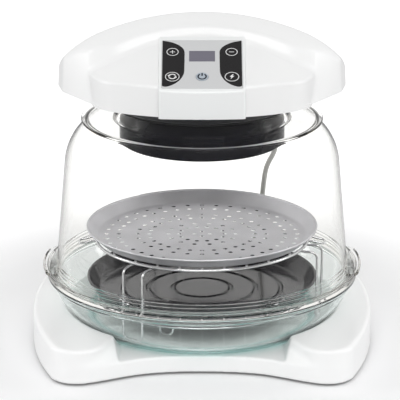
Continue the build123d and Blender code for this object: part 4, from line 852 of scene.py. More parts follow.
def makeDome(look):
    d = domeShape
    wall, thick, foot, flange, neck, lip = d["wall"], d["flangeThick"], d["foot"], d["flange"], d["neck"], d["lipOuter"]
    (shoulderR, shoulderZ), (crownR, crownZ), (collarR, collarZ) = d["shoulder"], d["crown"], d["collar"]
    way = (shoulderR - foot, shoulderZ - thick)

    def onWall(parts, inset):
        return [(foot - inset + way[0] * t, thick + way[1] * t) for t in parts]

    curve = tangentArc((shoulderR, shoulderZ), (crownR, crownZ), way, 22)
    innerCurve = tangentArc((shoulderR - wall, shoulderZ), (crownR - wall, crownZ), way, 22)
    edgeR, edgeZ = flange - d["edgeWall"], d["edgeHeight"]
    outline = [
        (lip - wall, -d["lipDepth"], 1.2), (lip, -d["lipDepth"], 1.2), (lip, 0, 0.8), (flange, 0, 1.4),
        (flange, edgeZ, 1.1), (edgeR, edgeZ, 1.1), (edgeR, thick, 0.8)]
    for ridge in d["ridges"]:
        for x, rise in ((0.9, 0), (0.6, d["ridgeHeight"]), (-0.6, d["ridgeHeight"]), (-0.9, 0)):
            outline += [(ridge + x, thick + rise, 0.3)]
    outline += [(foot, thick, 2.0)]
    for band in d["bands"]:
        for up, proud in ((-1.4, 0.0), (-0.7, d["bandProud"]), (0.7, d["bandProud"]), (1.4, 0.0)):
            outline += [(foot + way[0] * (band + up - thick) / way[1] + proud, band + up, 0.4)]
    outline += onWall((0.12, 0.3, 0.5, 0.7, 0.9), 0) + curve[:-1]
    neckTop = collarZ + d["neckHeight"]
    outline += [
        (crownR, crownZ, 1.5), (crownR, collarZ, 1.5), (collarR, collarZ, 1.2), (collarR, collarZ + wall, 1.4),
        (neck, collarZ + wall, 2.5), (neck, neckTop, 1.2), (neck - wall, neckTop, 1.2),
        (neck - wall, collarZ, 1.5), (crownR - wall, collarZ, 2.0), (crownR - wall, crownZ, 1.5)]
    outline += innerCurve[-2::-1] + onWall((0.9, 0.7, 0.5, 0.3, 0.1), wall)
    dome = turned("domeCover", lifted(softCorners(outline), d["base"]), 224, 48)

    reach, high, half = d["earReach"], d["earHeight"], d["earSpan"] / 2
    tab = [
        (foot + 1.0, thick - 0.4), (flange - 1, thick - 0.4), (reach, high - 5, 5.0), (reach - 0.5, high, 1.2),
        (reach - 3.2, high, 1.2), (reach - 3, high - 4, 3.0), (flange - 3, thick + 2, 2.0), (foot + 1.0, thick + 2)]
    web = [
        (foot + 0.5, thick), (reach - 3, thick + 2, 3.0), (reach - 1, high - 1, 3.0), (foot - 1.5, high + 6, 2.0)]
    ears = []
    for side in (0, 180):
        for shape, start, sweep, steps in ((tab, -half, 2 * half, 26), (web, -half, 0.9, 2), (web, half - 0.9, 0.9, 2)):
            ear = lifted(softCorners(shape), d["base"])
            ears.append(turned("ear", ear, steps, 40, side + start, sweep))
    for ear in ears:
        cutAway(dome, ear, "UNION")
    smoothed(dome, 48)
    finishPiece(dome, look, "dome", "dome_plastic", "dome_cover")


sealShape = {"outer": 116.0, "width": 7.0, "base": 315.6, "thick": 2.4}


def makeSeal(look):
    s = sealShape
    low, high, out, inn = s["base"], s["base"] + s["thick"], s["outer"], s["outer"] - s["width"]
    outline = softCorners([
        (inn, low, 0.8), (inn + 2.4, low, 0.3), (inn + 2.7, low + 0.5, 0.3), (inn + 3.6, low + 0.5, 0.3),
        (inn + 3.9, low, 0.3), (out, low, 0.9), (out, high, 0.9), (inn, high, 0.8)], count=4)
    seal = turned("neckSeal", outline, 192, 40)
    finishPiece(seal, look, "seal", "seal_rubber", "neck_seal")


# head shell: wing, crown and front bulge blended into one moulding

headShape = {
    "base": 328.3, "wall": 3.0,
    "tipHalf": 188.0, "tipY": 45.0, "rearY": 130.0,
    "frontTip": (180.0, 5.0), "corner": (137.0, -62.0), "cornerRound": 30.0,
    "topTip": (175.0, 20.0), "topCorner": (112.0, -20.0), "topCornerRound": 150.0, "topDraft": 4.0, "topRise": 104.0,
    "endRound": 12.0, "tipRound": 16.0, "hubY": 40.0,
    "crownY": 15.0, "crownAxis": -40.0, "peak": 100.0, "shoulder": (129.0, 75.0), "tip": (188.0, 32.0),
    "bulgeHalf": 142.0, "bulgeFront": 124.0, "bulgeArc": 225.0, "bulgeCorner": 30.0, "bulgeFrontRise": 37.0,
    "bulgeFrontSide": 26.0, "bulgeBackY": 32.0, "bulgeBackRise": 81.0, "bulgeBackSide": 33.0,
    "bulgeSpread": 6.0, "bulgeEnd": 30.0, "tipFall": 0.8,
    "wingEdge": 3.5, "bulgeEdge": 3.0, "leastEdge": 0.8, "valley": 5.0,  # roundings
    "eyeY": 5.0, "firstReach": 20.0, "lastReach": 260.0, "stride": 6.0,  # the rays' start, end and steps
    "around": 540, "lifts": (0.25, 22.0, 1.0, 89.5), "innerLifts": (1.0, 24.0, 3.0, 89.0),  # fine, up to, coarse, up to
    "ventCount": 9, "ventPitch": 9.0, "ventWide": 3.0, "ventTall": 22.0, "ventRise": 17.0,
}


def wingPlan(tip, corner, cornerRound, draft):
    # right half from the front's middle to the rear's middle, the same point counts for every plan
    h = headShape
    end = (h["tipHalf"] - draft, h["tipY"])
    rear = arcThrough(end, (0, h["rearY"] - draft), (-end[0], end[1]), 96)
    corners = [(0.0, corner[1]), (*corner, cornerRound), (*tip, h["tipRound"]), (*end, h["endRound"]), rear[2]]
    soft = softCorners(corners, closed=False, count=16)
    pieces = [soft[0:2], soft[1:18], soft[17:19], soft[18:35], soft[34:36], soft[35:52]]
    line = []
    for piece, count in zip(pieces, (16, 16, 14, 16, 12, 16)):
        ends = np.array(piece)
        gaps = np.concatenate([[0], np.cumsum(np.hypot(*np.diff(ends, axis=0).T))])
        at = np.linspace(0, gaps[-1], count + 1)[:-1]
        line += list(zip(np.interp(at, gaps, ends[:, 0]), np.interp(at, gaps, ends[:, 1])))
    return np.array(line + [soft[51]] + rear[3:49])


def wingTable():
    # the wing's reach from its hub, by height and direction
    h = headShape
    low = wingPlan(h["frontTip"], h["corner"], h["cornerRound"], 0.0)
    high = wingPlan(h["topTip"], h["topCorner"], h["topCornerRound"], h["topDraft"])
    turns = np.linspace(-math.pi / 2, math.pi / 2, 721)
    rises = np.linspace(0, h["topRise"], 53)
    table = []
    for rise in rises:
        plan = low + (high - low) * rise / h["topRise"]
        angle = np.arctan2(plan[:, 1] - h["hubY"], plan[:, 0])
        reach = np.hypot(plan[:, 0], plan[:, 1] - h["hubY"])
        order = np.argsort(angle)
        table.append(np.interp(turns, angle[order], reach[order]))
    return turns, rises, np.array(table)


def crownProfile():
    h = headShape
    sx, sz = h["shoulder"]
    top = arcThrough((-sx, sz), (0, h["peak"]), (sx, sz), 120)
    way = (top[-1][0] - top[-2][0], top[-1][1] - top[-2][1])
    fall = tangentArc((sx, sz), h["tip"], way, 60)
    line = np.array([p for p in top if p[0] >= 0] + fall[1:])
    return line[:, 0], line[:, 1] - h["crownAxis"]


def roundAnd(a, b, r):
    u, v = np.maximum(a + r, 0), np.maximum(b + r, 0)
    return np.minimum(-r, np.maximum(a, b)) + np.hypot(u, v)


def roundOr(a, b, r):
    u, v = np.maximum(r - a, 0), np.maximum(r - b, 0)
    return np.maximum(r, np.minimum(a, b)) - np.hypot(u, v)


def headField(inset):
    # distance from the moulding's skin, negative inside it
    h = headShape
    turns, rises, table = wingTable()
    slopeTurn = np.gradient(table, turns, axis=1) / table
    slopeRise = np.gradient(table, rises, axis=0)
    crownX, crownR = crownProfile()
    crownSlope = np.gradient(crownR, crownX)

    def look(grid, rise, turn):
        # between the grid's four nearest values
        v = np.clip(rise, 0, rises[-1]) / (rises[1] - rises[0])
        u = (turn - turns[0]) / (turns[1] - turns[0])
        u = np.clip(u, 0, len(turns) - 1.001)
        v = np.clip(v, 0, len(rises) - 1.001)
        iu, iv = u.astype(int), v.astype(int)
        fu, fv = u - iu, v - iv
        return (grid[iv, iu] * (1 - fu) * (1 - fv) + grid[iv, iu + 1] * fu * (1 - fv)
                + grid[iv + 1, iu] * (1 - fu) * fv + grid[iv + 1, iu + 1] * fu * fv)

    def edge(radius):
        return max(radius - inset * 0.6, h["leastEdge"])

    def field(x, y, z):
        ax = np.abs(x)
        turn = np.arctan2(y - h["hubY"], ax)
        reach = np.hypot(ax, y - h["hubY"])
        lean = 1 / np.sqrt(1 + look(slopeTurn, z, turn) ** 2 + look(slopeRise, z, turn) ** 2)
        wing = (reach - look(table, z, turn)) * lean
        away = np.hypot(y - h["crownY"], z - h["crownAxis"])
        fall = np.interp(ax, crownX, crownSlope)
        crown = (away - np.interp(ax, crownX, crownR)) / np.sqrt(1 + fall ** 2)
        crown = crown + np.maximum(ax - crownX[-1], 0) * h["tipFall"]
        length = h["bulgeFront"] - h["bulgeBackY"]
        share = np.minimum((h["bulgeFront"] + y) / length, 1.0)
        top = h["bulgeFrontRise"] + (h["bulgeBackRise"] - h["bulgeFrontRise"]) * share
        side = h["bulgeFrontSide"] + (h["bulgeBackSide"] - h["bulgeFrontSide"]) * share
        wide = h["bulgeHalf"] + h["bulgeSpread"]
        sag = np.maximum(top - side, 0.5)
        radius = (wide ** 2 + sag ** 2) / (2 * sag)
        roof = top - radius + np.sqrt(np.maximum(radius ** 2 - ax ** 2, 1.0))
        tilt = np.where(share < 1, (h["bulgeBackRise"] - h["bulgeFrontRise"]) / length, 0.0)
        roofField = (z - roof) / np.sqrt(1 + tilt ** 2 + (ax / radius) ** 2)
        noseY = h["bulgeArc"] - h["bulgeFront"]
        nose = np.where(y > noseY, -100.0, np.hypot(x, y - noseY) - h["bulgeArc"])
        plan = np.maximum(roundAnd(ax - h["bulgeHalf"], nose, h["bulgeCorner"]), y - h["bulgeEnd"])
        bulge = roundAnd(roofField + inset, plan + inset, edge(h["bulgeEdge"]))
        body = roundAnd(wing + inset, crown + inset, edge(h["wingEdge"]))
        return roundOr(body, bulge, h["valley"])
    return field


def headSkin(inset, aroundCount, lifts):
    # grid of points where rays from the middle of the base meet the form
    h = headShape
    field = headField(inset)
    fine, change, coarse, end = lifts
    lifts = [*np.arange(0, change, fine), *np.arange(change, end, coarse)]
    turns = np.linspace(0, 2 * math.pi, aroundCount, endpoint=False)
    lift, turn = np.meshgrid(np.radians(lifts), turns, indexing="ij")
    dx, dy, dz = np.cos(lift) * np.cos(turn), np.cos(lift) * np.sin(turn), np.sin(lift)
    far = np.full(dx.shape, h["firstReach"])
    near, reach = far.copy(), far.copy()
    found = np.zeros(dx.shape, bool)
    while not found.all() and far.max() < h["lastReach"]:
        value = field(far * dx, h["eyeY"] + far * dy, far * dz)
        crossed = (value > 0) & ~found
        found |= crossed
        near = np.where(found, near, far)
        reach = np.where(found, reach, far + h["stride"])
        far = np.where(found, far, far + h["stride"])
    low, high = near, reach
    for _ in range(18):
        middle = (low + high) / 2
        outside = field(middle * dx, h["eyeY"] + middle * dy, middle * dz) > 0
        high = np.where(outside, middle, high)
        low = np.where(outside, low, middle)
    reach = (low + high) / 2
    return np.stack([reach * dx, h["eyeY"] + reach * dy, h["base"] + reach * dz], axis=-1)


def makeHead():
    h = headShape
    outer = headSkin(0.0, h["around"], h["lifts"])
    inner = headSkin(h["wall"], h["around"] // 4, h["innerLifts"])
    verts, faces = [], []

    def addGrid(grid, flip):
        first = len(verts)
        rows, count = grid.shape[:2]
        verts.extend(map(tuple, (grid.reshape(-1, 3) * mm)))
        for row in range(rows - 1):
            for face in between(first + row * count, first + (row + 1) * count, count):
                faces.append(face[::-1] if flip else face)
        cap = len(verts)
        verts.append(tuple(grid[-1].mean(axis=0) * mm))
        last = cap - count
        for k in range(count):
            face = (last + k, last + (k + 1) % count, cap)
            faces.append(face[::-1] if flip else face)
        return first, count

    outerFirst, outerCount = addGrid(outer, False)
    innerFirst, innerCount = addGrid(inner, True)
    ratio = outerCount // innerCount
    for k in range(innerCount):
        m = (k + 1) % innerCount
        strip = [outerFirst + (k * ratio + i) % outerCount for i in range(ratio + 1)]
        faces.append((innerFirst + k, innerFirst + m, *reversed(strip)))
    shell = meshThing("headShell", verts, faces, 60)
    print("head shell faces", len(shell.data.polygons))
    return shell


# control fascia on the front of the head

fasciaShape = {
    "half": 54.0, "front": 130.0, "frontRise": 35.5, "slope": 25.5, "length": 108.0, "bow": 3.0, "wall": 2.5,
    "corner": 4.0, "frontRound": 3.0, "sideRound": 1.3, "squareRound": 0.01,
    "stepY": 112.0, "deck": 3.3, "film": 0.8, "fit": 0.2, "coverThick": 2.5, "coverGap": 0.4,
    "filmHalf": 50.6, "filmStart": 6.2, "filmLength": 94.6, "filmCorner": 2.6,
    "keyRadius": 7.7, "keyGap": 0.3, "keyProud": 0.5, "sideX": 37.0, "upper": 77.0, "lower": 29.0,
    "display": (32.4, 20.8), "displayAt": 69.2,
    "darkPanel": [  # right-hand one, across and up the slope
        (49.7, 100.0), (41.5, 97.8), (34.6, 94.7), (28.3, 90.0), (23.6, 83.8), (21.9, 76.5), (21.9, 60.0), (22.1, 42.0),
        (22.8, 35.0), (24.8, 28.5), (29.0, 20.8), (35.8, 14.0), (43.2, 10.3), (47.6, 10.3), (49.4, 12.2), (49.7, 15.0)],
    "printLift": 0.12, "cutTop": 2.0,
}


def panelPoint(x, s, height=0.0):
    # place on the sloping face, s up the slope, height out of it, in metres
    f = fasciaShape
    slope = math.radians(f["slope"])
    origin = Vector((0, -f["front"], headShape["base"] + f["frontRise"]))
    up = Vector((0, math.cos(slope), math.sin(slope)))
    out = Vector((0, -math.sin(slope), math.cos(slope)))
    return (origin + Vector((x, 0, 0)) + up * s + out * height) * mm


def fasciaPlan(inset):
    f = fasciaShape
    half, front = f["half"] - inset, -f["front"] + inset
    bow = f["bow"]
    radius = (half ** 2 + bow ** 2) / (2 * bow)
    line = [(x, front + radius - math.sqrt(radius ** 2 - x ** 2)) for x in np.linspace(-half, half, 41)]
    corner = max(f["corner"] - inset, 0.5)
    outline = [(-half, 0.0), (*line[0], corner), *line[3:-3], (*line[-1], corner), (half, 0.0)]
    return softCorners(outline, closed=False, count=8)


def fasciaSolid(name, inset, drop, rounded, low, length):
    # upright walls up to the sloping top, its edge rolled over
    f = fasciaShape
    slope = math.radians(f["slope"])
    plan = fasciaPlan(inset)
    back = -f["front"] + length * math.cos(slope)

    def roof(y):
        return headShape["base"] + f["frontRise"] + (y + f["front"]) * math.tan(slope) - drop / math.cos(slope)

    outline = [(x, min(y, back)) for x, y in plan]
    outline[0], outline[-1] = (outline[0][0], back), (outline[-1][0], back)
    count = len(outline)
    normals = []
    for k in range(count):
        way = (Vector(outline[min(k + 1, count - 1)]) - Vector(outline[max(k - 1, 0)])).normalized()
        normals.append(Vector((way.y, -way.x)))
    rings = [[Vector((x, y, low)) for x, y in outline]]
    for step in range(7):
        turn = math.pi / 2 * step / 6
        ring = []
        for (x, y), normal in zip(outline, normals):
            facing = max(-normal.y, 0.0) ** 2
            bend = f["sideRound"] + (f["frontRound"] - f["sideRound"]) * facing if rounded else f["squareRound"]
            move = bend * (1 - math.cos(turn))
            px, py = x - normal.x * move, y - normal.y * move
            ring.append(Vector((px, py, roof(py) - bend * (1 - math.sin(turn)))))
        rings.append(ring)
    rings = [[p * mm for p in ring] for ring in rings]
    return loftRings(name, rings, 50)


def panelPrism(name, outline, top, bottom, middle=(0.0, 0.0), sharp=40):
    # flat shape on the sloping face between two heights
    rings = [[panelPoint(x + middle[0], y + middle[1], height) for x, y in outline] for height in (bottom, top)]
    return loftRings(name, rings, sharp)


def keyPlaces():
    f = fasciaShape
    return {
        "key_plus": (-f["sideX"], f["upper"]), "key_minus": (f["sideX"], f["upper"]),
        "key_cycle": (-f["sideX"], f["lower"]), "key_turbo": (f["sideX"], f["lower"]), "key_power": (0.0, f["lower"])}


def makeFascia(look):
    f = fasciaShape
    base = headShape["base"]
    fascia = fasciaSolid("controlFascia", 0.0, 0.0, True, base, f["length"])
    hollow = fasciaSolid("fasciaHollow", f["wall"], f["deck"], False, base - 1, f["length"] + 20)
    cutAway(fascia, hollow)
    film = roundedRing(f["filmLength"] + 2 * f["fit"], 2 * (f["filmHalf"] + f["fit"]), f["filmCorner"] + f["fit"])
    middle = f["filmStart"] + f["filmLength"] / 2
    cutAway(fascia, panelPrism("filmRecess", film, f["cutTop"], -f["film"], (0, middle)))
    for name, place in keyPlaces().items():
        hole = circleLine(f["keyRadius"] + f["keyGap"])
        cutAway(fascia, panelPrism(name + "Hole", hole, f["cutTop"], -f["deck"] - 2, place))
    step = f["coverThick"] + f["coverGap"]
    low, high = -f["stepY"], 10.0
    wide = f["half"] + 2
    corners = ((-wide, low), (wide, low), (wide, high), (-wide, high))
    rings = [[Vector((x, y, z)) * mm for x, y in corners] for z in (base - 2, base + step)]
    cutAway(fascia, loftRings("coverStep", rings))
    smoothed(fascia, 30)
    finishPiece(fascia, look, "head", "white_plastic", "control_fascia")


def openHead(shell, look):
    # front opening for the fascia, rear vents and the cord's hole
    h, f = headShape, fasciaShape
    cutter = fasciaSolid("fasciaOpening", -f["fit"], -f["fit"], False, h["base"] - 5, f["length"] + 0.2)
    cutAway(shell, cutter)
    verts, faces = [], []
    for index in range(h["ventCount"]):
        x = (index - (h["ventCount"] - 1) / 2) * h["ventPitch"]
        low = h["base"] + h["ventRise"]
        ring = [(x + a, low + h["ventTall"] / 2 + b) for a, b in roundedRing(h["ventTall"], h["ventWide"], 1.4, 5)]
        faces += loftFaces(len(verts), 2, len(ring))
        for y in (h["rearY"] - 15, h["rearY"] + 15):
            verts += [(a * mm, y * mm, b * mm) for a, b in ring]
    cutAway(shell, meshThing("ventCutter", verts, faces))
    tip, way = glandTip()
    across = Vector((-way.y, way.x, 0))
    gland = cordShape["gland"]
    hole = circleLine(gland["hole"], 32)
    rings = []
    for along in (-16, 12):
        centre = tip + way * (along - gland["reach"]) * mm
        rings.append([centre + (across * a + Vector((0, 0, b))) * mm for a, b in hole])
    cutAway(shell, loftRings("cordHole", rings))
    smoothed(shell, 50)
    finishPiece(shell, look, "head", "white_plastic", "head_top_shell")


# film with its dark panels and the display

def smoothLine(points, count=5, ends=(5, 6)):
    # rounds the run between two corners that stay sharp
    line = []
    total = len(points)
    for k in range(total):
        b, c = Vector(points[k]), Vector(points[(k + 1) % total])
        a, d = Vector(points[k - 1]), Vector(points[(k + 2) % total])
        if k in (0,) + ends or k == total - 1:
            line.append(tuple(b))
            continue
        for step in range(count):
            t = step / count
            place = 0.5 * (2 * b + (c - a) * t + (2 * a - 5 * b + 4 * c - d) * t * t + (3 * b - a - 3 * c + d) * t ** 3)
            line.append(tuple(place))
    return line


def makeOverlay(film, dark, display):
    f = fasciaShape
    middle = f["filmStart"] + f["filmLength"] / 2
    outline = roundedRing(f["filmLength"], 2 * f["filmHalf"], f["filmCorner"])
    sheet = panelPrism("overlayFilm", outline, 0.0, -f["film"], (0, middle))
    panels = []
    for side in (1, -1):
        shape = [(x * side, y) for x, y in smoothLine(f["darkPanel"])]
        panels.append(panelPrism("darkPanel" + ("Right" if side > 0 else "Left"), shape, f["printLift"], -0.1))
    for name, place in keyPlaces().items():
        hole = circleLine(f["keyRadius"] + f["keyGap"], 56)
        for thing in [sheet] + [p for p, side in zip(panels, (1, -1)) if place[0] * side > 0]:
            cutAway(thing, panelPrism(name + "Hole", hole, f["cutTop"], -f["deck"], place))
    wide, tall = f["display"]
    face = panelPrism("displayFace", roundedRing(tall, wide, 0.8), f["printLift"] * 0.5, -0.3, (0, f["displayAt"]))
    for thing in [sheet] + panels:
        smoothed(thing, 30)
    finishPiece(sheet, film, "head", "overlay_film", "keypad_overlay")
    finishPiece(panels[0], dark, "head", "dark_film", "overlay_dark_panels")
    finishPiece(panels[1], dark, "head", "dark_film")
    finishPiece(face, display, "head", "display_lens", "display_window")


# key symbols

symbolShape = {
    "above": 0.14, "below": 0.05, "aroundKey": (8.05, 8.95), "onKey": (6.65, 7.5), "powerRing": (6.9, 7.6),
    "stroke": 0.9, "arm": 3.2, "dot": 0.45, "cycleRadius": 4.3, "cycleStroke": 1.5,
    "cycleArcs": ((25, 160), (205, 340)), "powerArc": (124, 416), "powerBar": (1.2, 6.4),
    "powerRadius": 5.0, "powerStroke": 1.9,
    "bolt": ((1.5, 4.8), (-2.8, -0.4), (-0.6, -0.4), (-1.7, -5.0), (3.0, 1.0), (0.6, 1.0), (2.2, 4.8)),
    "arrow": ((-1.9, -1.2), (1.9, -1.2), (0, 2.2)), "arrowAt": (166, 346),
}


def flatBand(name, line, wide, place, closed=False, base=None):
    # raised line of even width on the sloping face
    points = [Vector((*p, 0)) for p in line]
    total = len(points)
    left, right = [], []
    for k, point in enumerate(points):
        before = points[(k - 1) % total] if closed or k else points[k]
        after = points[(k + 1) % total] if closed or k < total - 1 else points[k]
        way = (after - before).normalized()
        side = Vector((-way.y, way.x, 0)) * wide / 2
        left.append(point + side)
        right.append(point - side)
    base = fasciaShape["keyProud"] if base is None else base
    top, bottom = base + symbolShape["above"], base - symbolShape["below"]
    verts, faces = [], []
    for height in (bottom, top):
        for row in (left, right):
            verts += [tuple(panelPoint(p.x + place[0], p.y + place[1], height)) for p in row]
    a, b, c, d = [row * total for row in range(4)]
    for k in range(total if closed else total - 1):
        m = (k + 1) % total
        faces += [(p + k, p + m, q + m, q + k) for p, q in ((c, d), (a, b), (a, c), (b, d))]
    if not closed:
        for k in (0, total - 1):
            faces.append((a + k, b + k, d + k, c + k))
    return meshThing(name, verts, faces, 30)


def arcLine(radius, start, end, count):
    return sweptArc(0, 0, radius, math.radians(start), math.radians(end - start), count)


def joined(name, things):
    verts, faces = [], []
    for thing in things:
        first = len(verts)
        verts += [tuple(v.co) for v in thing.data.vertices]
        faces += [tuple(first + v for v in face.vertices) for face in thing.data.polygons]
        bpy.data.objects.remove(thing)
    return meshThing(name, verts, faces, 30, weld=False)


def makeSymbols(white, dark, halo):
    s = symbolShape
    arm, dot, stroke, bend = s["arm"], s["dot"], s["stroke"], s["cycleRadius"]
    strokes = {
        "key_plus": [
            ([(-arm, 0), (arm, 0)], stroke), ([(0, -arm), (0, -dot)], stroke), ([(0, dot), (0, arm)], stroke)],
        "key_minus": [([(-arm, 0), (arm, 0)], stroke)],
        "key_cycle": [(arcLine(bend, *ends, 24), s["cycleStroke"]) for ends in s["cycleArcs"]],
    }
    solids = {"key_cycle": [], "key_turbo": [s["bolt"]]}
    for angle in s["arrowAt"]:
        c, d = math.cos(math.radians(angle)), math.sin(math.radians(angle))
        solids["key_cycle"].append([((bend + x) * c - y * d, (bend + x) * d + y * c) for x, y in s["arrow"]])
    top = fasciaShape["keyProud"]
    for name, place in keyPlaces().items():
        mark = name.replace("key_", "")
        if name == "key_power":
            low, high = s["powerRing"]
            rim = flatBand("powerHalo", circleLine((low + high) / 2, 48), high - low, place, True)
            finishPiece(rim, halo, name + "_body", "key_light")
            lines = [arcLine(s["powerRadius"], *s["powerArc"], 40), [(0, end) for end in s["powerBar"]]]
            parts = [flatBand("power", line, s["powerStroke"], place) for line in lines]
            finishPiece(joined("powerSymbol", parts), dark, name + "_body", "dark_film")
            continue
        outer = name in ("key_cycle", "key_turbo")
        low, high = s["aroundKey"] if outer else s["onKey"]
        base = fasciaShape["printLift"] if outer else top
        circle = flatBand(mark + "Ring", circleLine((low + high) / 2, 60), high - low, place, True, base)
        finishPiece(circle, white, "head" if outer else name + "_body", "white_plastic_satin")
        parts = [flatBand(mark, line, wide, place) for line, wide in strokes.get(name, [])]
        for outline in solids.get(name, []):
            parts.append(panelPrism(mark, outline, top + s["above"], top - s["below"], place, 30))
        finishPiece(joined(mark + "Symbol", parts), white, name + "_body", "white_plastic_satin")


# heater housing, a deep black can under the head

housingShape = {
    "base": 328.3, "depth": 62.0, "radius": 106.5, "neckRadius": 100.0, "shoulder": 314.0, "wall": 1.5, "flange": 12.0,
    "lip": 8.0, "beads": (298.3, 290.3), "beadTall": 3.0, "beadProud": 0.9,
}


def makeHousing(look):
    h = housingShape
    low, top, wall = h["base"] - h["depth"], h["base"], h["wall"]
    out, neck, shoulder = h["radius"], h["neckRadius"], h["shoulder"]
    inner = neck - wall
    outline = [(inner - h["lip"], low, 0.4), (out, low, 2.2)]
    for bead in reversed(h["beads"]):
        half = h["beadTall"] / 2
        turns = np.linspace(-1.45, 1.45, 9)
        swell = [(out + h["beadProud"] * math.cos(t) ** 0.8, bead + half * math.sin(t)) for t in turns]
        outline += [(out, bead - half - 0.8), *swell, (out, bead + half + 0.8)]
    outline += [
        (out, shoulder, 2.0), (neck, shoulder + 1.5, 0.8), (neck, top), (inner - h["flange"], top),
        (inner - h["flange"], top - wall), (inner, top - wall, 1.0), (inner, shoulder - 1, 0.5),
        (out - wall, shoulder - 2, 1.5), (out - wall, low + wall, 1.2), (inner - h["lip"], low + wall, 0.4)]
    can = turned("heaterHousing", softCorners(outline), 224, 40)
    finishPiece(can, look, "head", "housing_enamel", "heater_housing")


# heater lamp's filament, a fine coil

filamentShape = {"wire": 0.28, "coil": 1.15, "pitch": 1.6, "turnPoints": 8, "gap": 26.0}  # gap in degrees


def makeFilament(look):
    f = filamentShape
    low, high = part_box("halogen_tube")
    middle = (low.z + high.z) / 2
    ring = (high.x - low.x - high.z + low.z) / 2
    sweep = math.radians(360 - 2 * f["gap"])
    start = math.radians(90 + f["gap"])
    turns = int(ring * sweep / (f["pitch"] * mm))
    count = turns * f["turnPoints"]
    line = []
    for index in range(count + 1):
        share = index / count
        at = start + sweep * share
        spin = 2 * math.pi * turns * share
        reach = ring + f["coil"] * mm * math.cos(spin)
        line.append((reach * math.cos(at), reach * math.sin(at), middle + f["coil"] * mm * math.sin(spin)))
    coil = wires("filament", [(line, False)], f["wire"] * mm, 1)
    finishPiece(coil, look, "head", "plate_steel")


# finishes

def enamel(name, colour, rough, relief, shine=0.5):
    look, tree, shader = startLook(name)
    setShader(shader, SpecularIORLevel=shine, Roughness=rough)
    lighter = tuple(c * 1.25 + 0.002 for c in colour)
    noiseColour(tree, shader, colour, lighter, 45.0)
    noiseBump(tree, shader, 160.0, relief, 0.0003)
    return look


# the bowl's foot looks green: it is the glass farthest from a point eye millimetres up
glassFoot = {"colour": (0.10, 0.38, 0.36), "eye": 600.0, "near": 590.8, "far": 592.6}


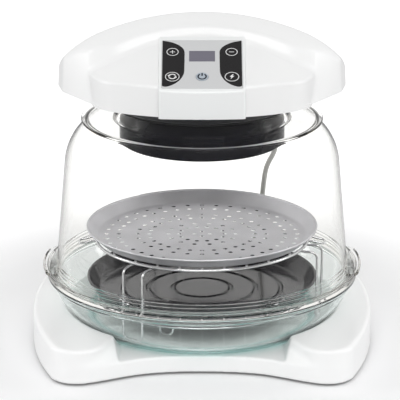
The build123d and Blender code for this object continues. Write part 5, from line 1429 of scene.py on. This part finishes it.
def makeLooks():
    return {
        "white": plastic("whitePlastic", (0.86, 0.862, 0.86), 0.3, 700.0, 0.03, 0.010, 0.1),
        # the tray is the head's white plastic, painted lighter: painted light that makes up for the shade the dome,
        # bowl and head cast on it
        "trayWhite": plastic("trayPlasticPaintedLight", (0.95, 0.952, 0.95), 0.3, 700.0, 0.03, 0.010, 0.1),
        "whiteSatin": plastic("whiteSatinPlastic", (0.82, 0.82, 0.82), 0.45, 700.0, 0.05, 0.015),
        "fascia": plastic("fasciaPlastic", (0.83, 0.842, 0.84), 0.32, 700.0, 0.03, 0.010, 0.1),
        "cord": plastic("cordJacket", (0.60, 0.60, 0.58), 0.5, 500.0, 0.08, 0.03),
        "plug": plastic("plugPlastic", (0.62, 0.62, 0.60), 0.4, 600.0, 0.05, 0.03),
        "black": plastic("blackPlastic", (0.012, 0.012, 0.015), 0.3, 600.0, 0.06, 0.3, 0.2),
        "foot": plastic("footRubber", (0.05, 0.05, 0.05), 0.75, 400.0, 0.2, 0.2),
        "seal": plastic("sealRubber", (0.010, 0.010, 0.011), 0.6, 400.0, 0.15, 0.2),
        "film": plastic("overlayFilm", (0.60, 0.605, 0.61), 0.36, 1400.0, 0.06, 0.02, 0.1),
        "darkFilm": plastic("darkFilm", (0.010, 0.009, 0.010), 0.26, 1400.0, 0.04, 0.15, 0.0),
        "keyDark": plastic("keyDark", (0.010, 0.009, 0.010), 0.24, 1400.0, 0.04, 0.15, 0.0),
        "keyLight": plastic("keyLight", (0.42, 0.47, 0.52), 0.34, 1400.0, 0.05, 0.03, 0.1),
        "symbolWhite": plastic("symbolWhite", (0.80, 0.80, 0.80), 0.4, 1400.0, 0.04, 0.02),
        "symbolDark": plastic("symbolDark", (0.010, 0.016, 0.028), 0.4, 1400.0, 0.04, 0.1),
        "display": plastic("displayGlass", (0.165, 0.158, 0.195), 0.3, 1000.0, 0.02, 0.03),
        "bowlGlass": seeThrough("bowlGlass", (0.985, 0.995, 0.99), 1.5, 0.08, (0.05, 0.58, 0.52), 7.0, glassFoot),
        "domeClear": seeThrough("domeClear", (0.995, 0.995, 0.99), 1.19, body=(1.0, 0.93, 0.72), depth=5.5),
        "quartz": seeThrough("quartzTube", (0.98, 0.98, 0.98), 1.46),
        "chrome": metal("chromedWire", (0.70, 0.70, 0.71), 0.14, relief=0.02, spread=0.05),
        "screw": metal("screwSteel", (0.55, 0.55, 0.56), 0.22),
        "plate": metal("plateSteel", (0.50, 0.50, 0.51), 0.34, (1, 1, 12)),
        "dish": metal("dishSteel", (0.66, 0.66, 0.66), 0.16),
        "laminations": metal("laminations", (0.30, 0.30, 0.31), 0.42, (1, 1, 60), spread=0.16),
        "fanAluminium": metal("fanAluminium", (0.58, 0.58, 0.59), 0.34, (1, 1, 6)),
        "copper": metal("coilCopper", (0.55, 0.24, 0.10), 0.35, (1, 1, 40)),
        "brass": metal("plugBrass", (0.60, 0.47, 0.22), 0.22),
        "pan": metal("panMetal", (0.63, 0.625, 0.65), 0.54, (1, 1, 1), 420.0, 0.10, 0.08),
        "liner": enamel("linerEnamel", (0.012, 0.011, 0.014), 0.13, 0.012),
        "housing": enamel("housingEnamel", (0.003, 0.003, 0.005), 0.10, 0.008, 0.12),
        "steatite": plastic("steatite", (0.62, 0.58, 0.50), 0.7, 500.0, 0.15, 0.08),
        "laminate": plastic("boardLaminate", (0.01, 0.10, 0.035), 0.35, 300.0, 0.08, 0.3),
        "parts": plastic("boardParts", (0.02, 0.025, 0.06), 0.45, 300.0, 0.08, 0.4),
        "fanPlastic": plastic("fanPlastic", (0.015, 0.015, 0.015), 0.5, 500.0, 0.08, 0.2),
        "filament": metal("filamentTungsten", (0.30, 0.30, 0.31), 0.35),
    }


# CAD pieces that keep their own shape

finishes = {
    "foot": ("base_feet",),
    "screw": ("foot_screws", "case_screws", "motor_bolts", "fan_nut", "housing_screws", "grille_screws"),
    "whiteSatin": ("head_bottom_cover",),
    "display": ("display_module",),
    "laminate": ("keypad_board", "supply_board"),
    "parts": ("board_components",),
    "laminations": ("transformer", "motor_stack"),
    "copper": ("motor_coil",),
    "steatite": ("terminal_block", "tube_end_caps", "thermal_fuse"),
    "plate": ("motor_end_plates", "motor_bracket", "motor_shaft", "heat_shield", "tube_clips", "thermostat_probe"),
    "fanPlastic": ("cooling_fan",),
    "fanAluminium": ("convection_fan",),
    "black": ("vent_ring",),
    "dish": ("reflector_dish", "heater_grille"),
    "quartz": ("halogen_tube",),
    "plug": ("cord_gland",),
    "brass": ("plug_blades",),
    "keyDark": ("key_plus", "key_minus", "key_cycle", "key_turbo"),
    "keyLight": ("key_power",),
}


scene.view_settings.view_transform = "Standard"
makeCamera()
makeRoom()
makeLamps()
makeFloor()
print("camera, room and lamps ready")

looks = makeLooks()
print("finishes ready:", len(looks))

lead, leadExit = makeCord(looks["cord"])
onLead = makePlug(looks["plug"]) + makeTie(looks["cord"]) + [nodes["plug_blades"]]
print("cord, plug and tie made")

makeTray(looks["trayWhite"])
makeBowl(looks["bowlGlass"])
makeRacks(looks["chrome"])
makeLiner(looks["liner"])
makePan(looks["pan"])
makeDome(looks["domeClear"])
makeSeal(looks["seal"])
print("tray, bowl, racks, pans and dome made")

openHead(makeHead(), looks["white"])
makeFascia(looks["fascia"])
makeOverlay(looks["film"], looks["darkFilm"], looks["display"])
makeSymbols(looks["symbolWhite"], looks["symbolDark"], looks["keyLight"])
makeHousing(looks["housing"])
makeFilament(looks["filament"])
print("head, fascia and symbols made")

for finish, names in finishes.items():
    dressNode(looks[finish], *names)
print("CAD pieces finished")
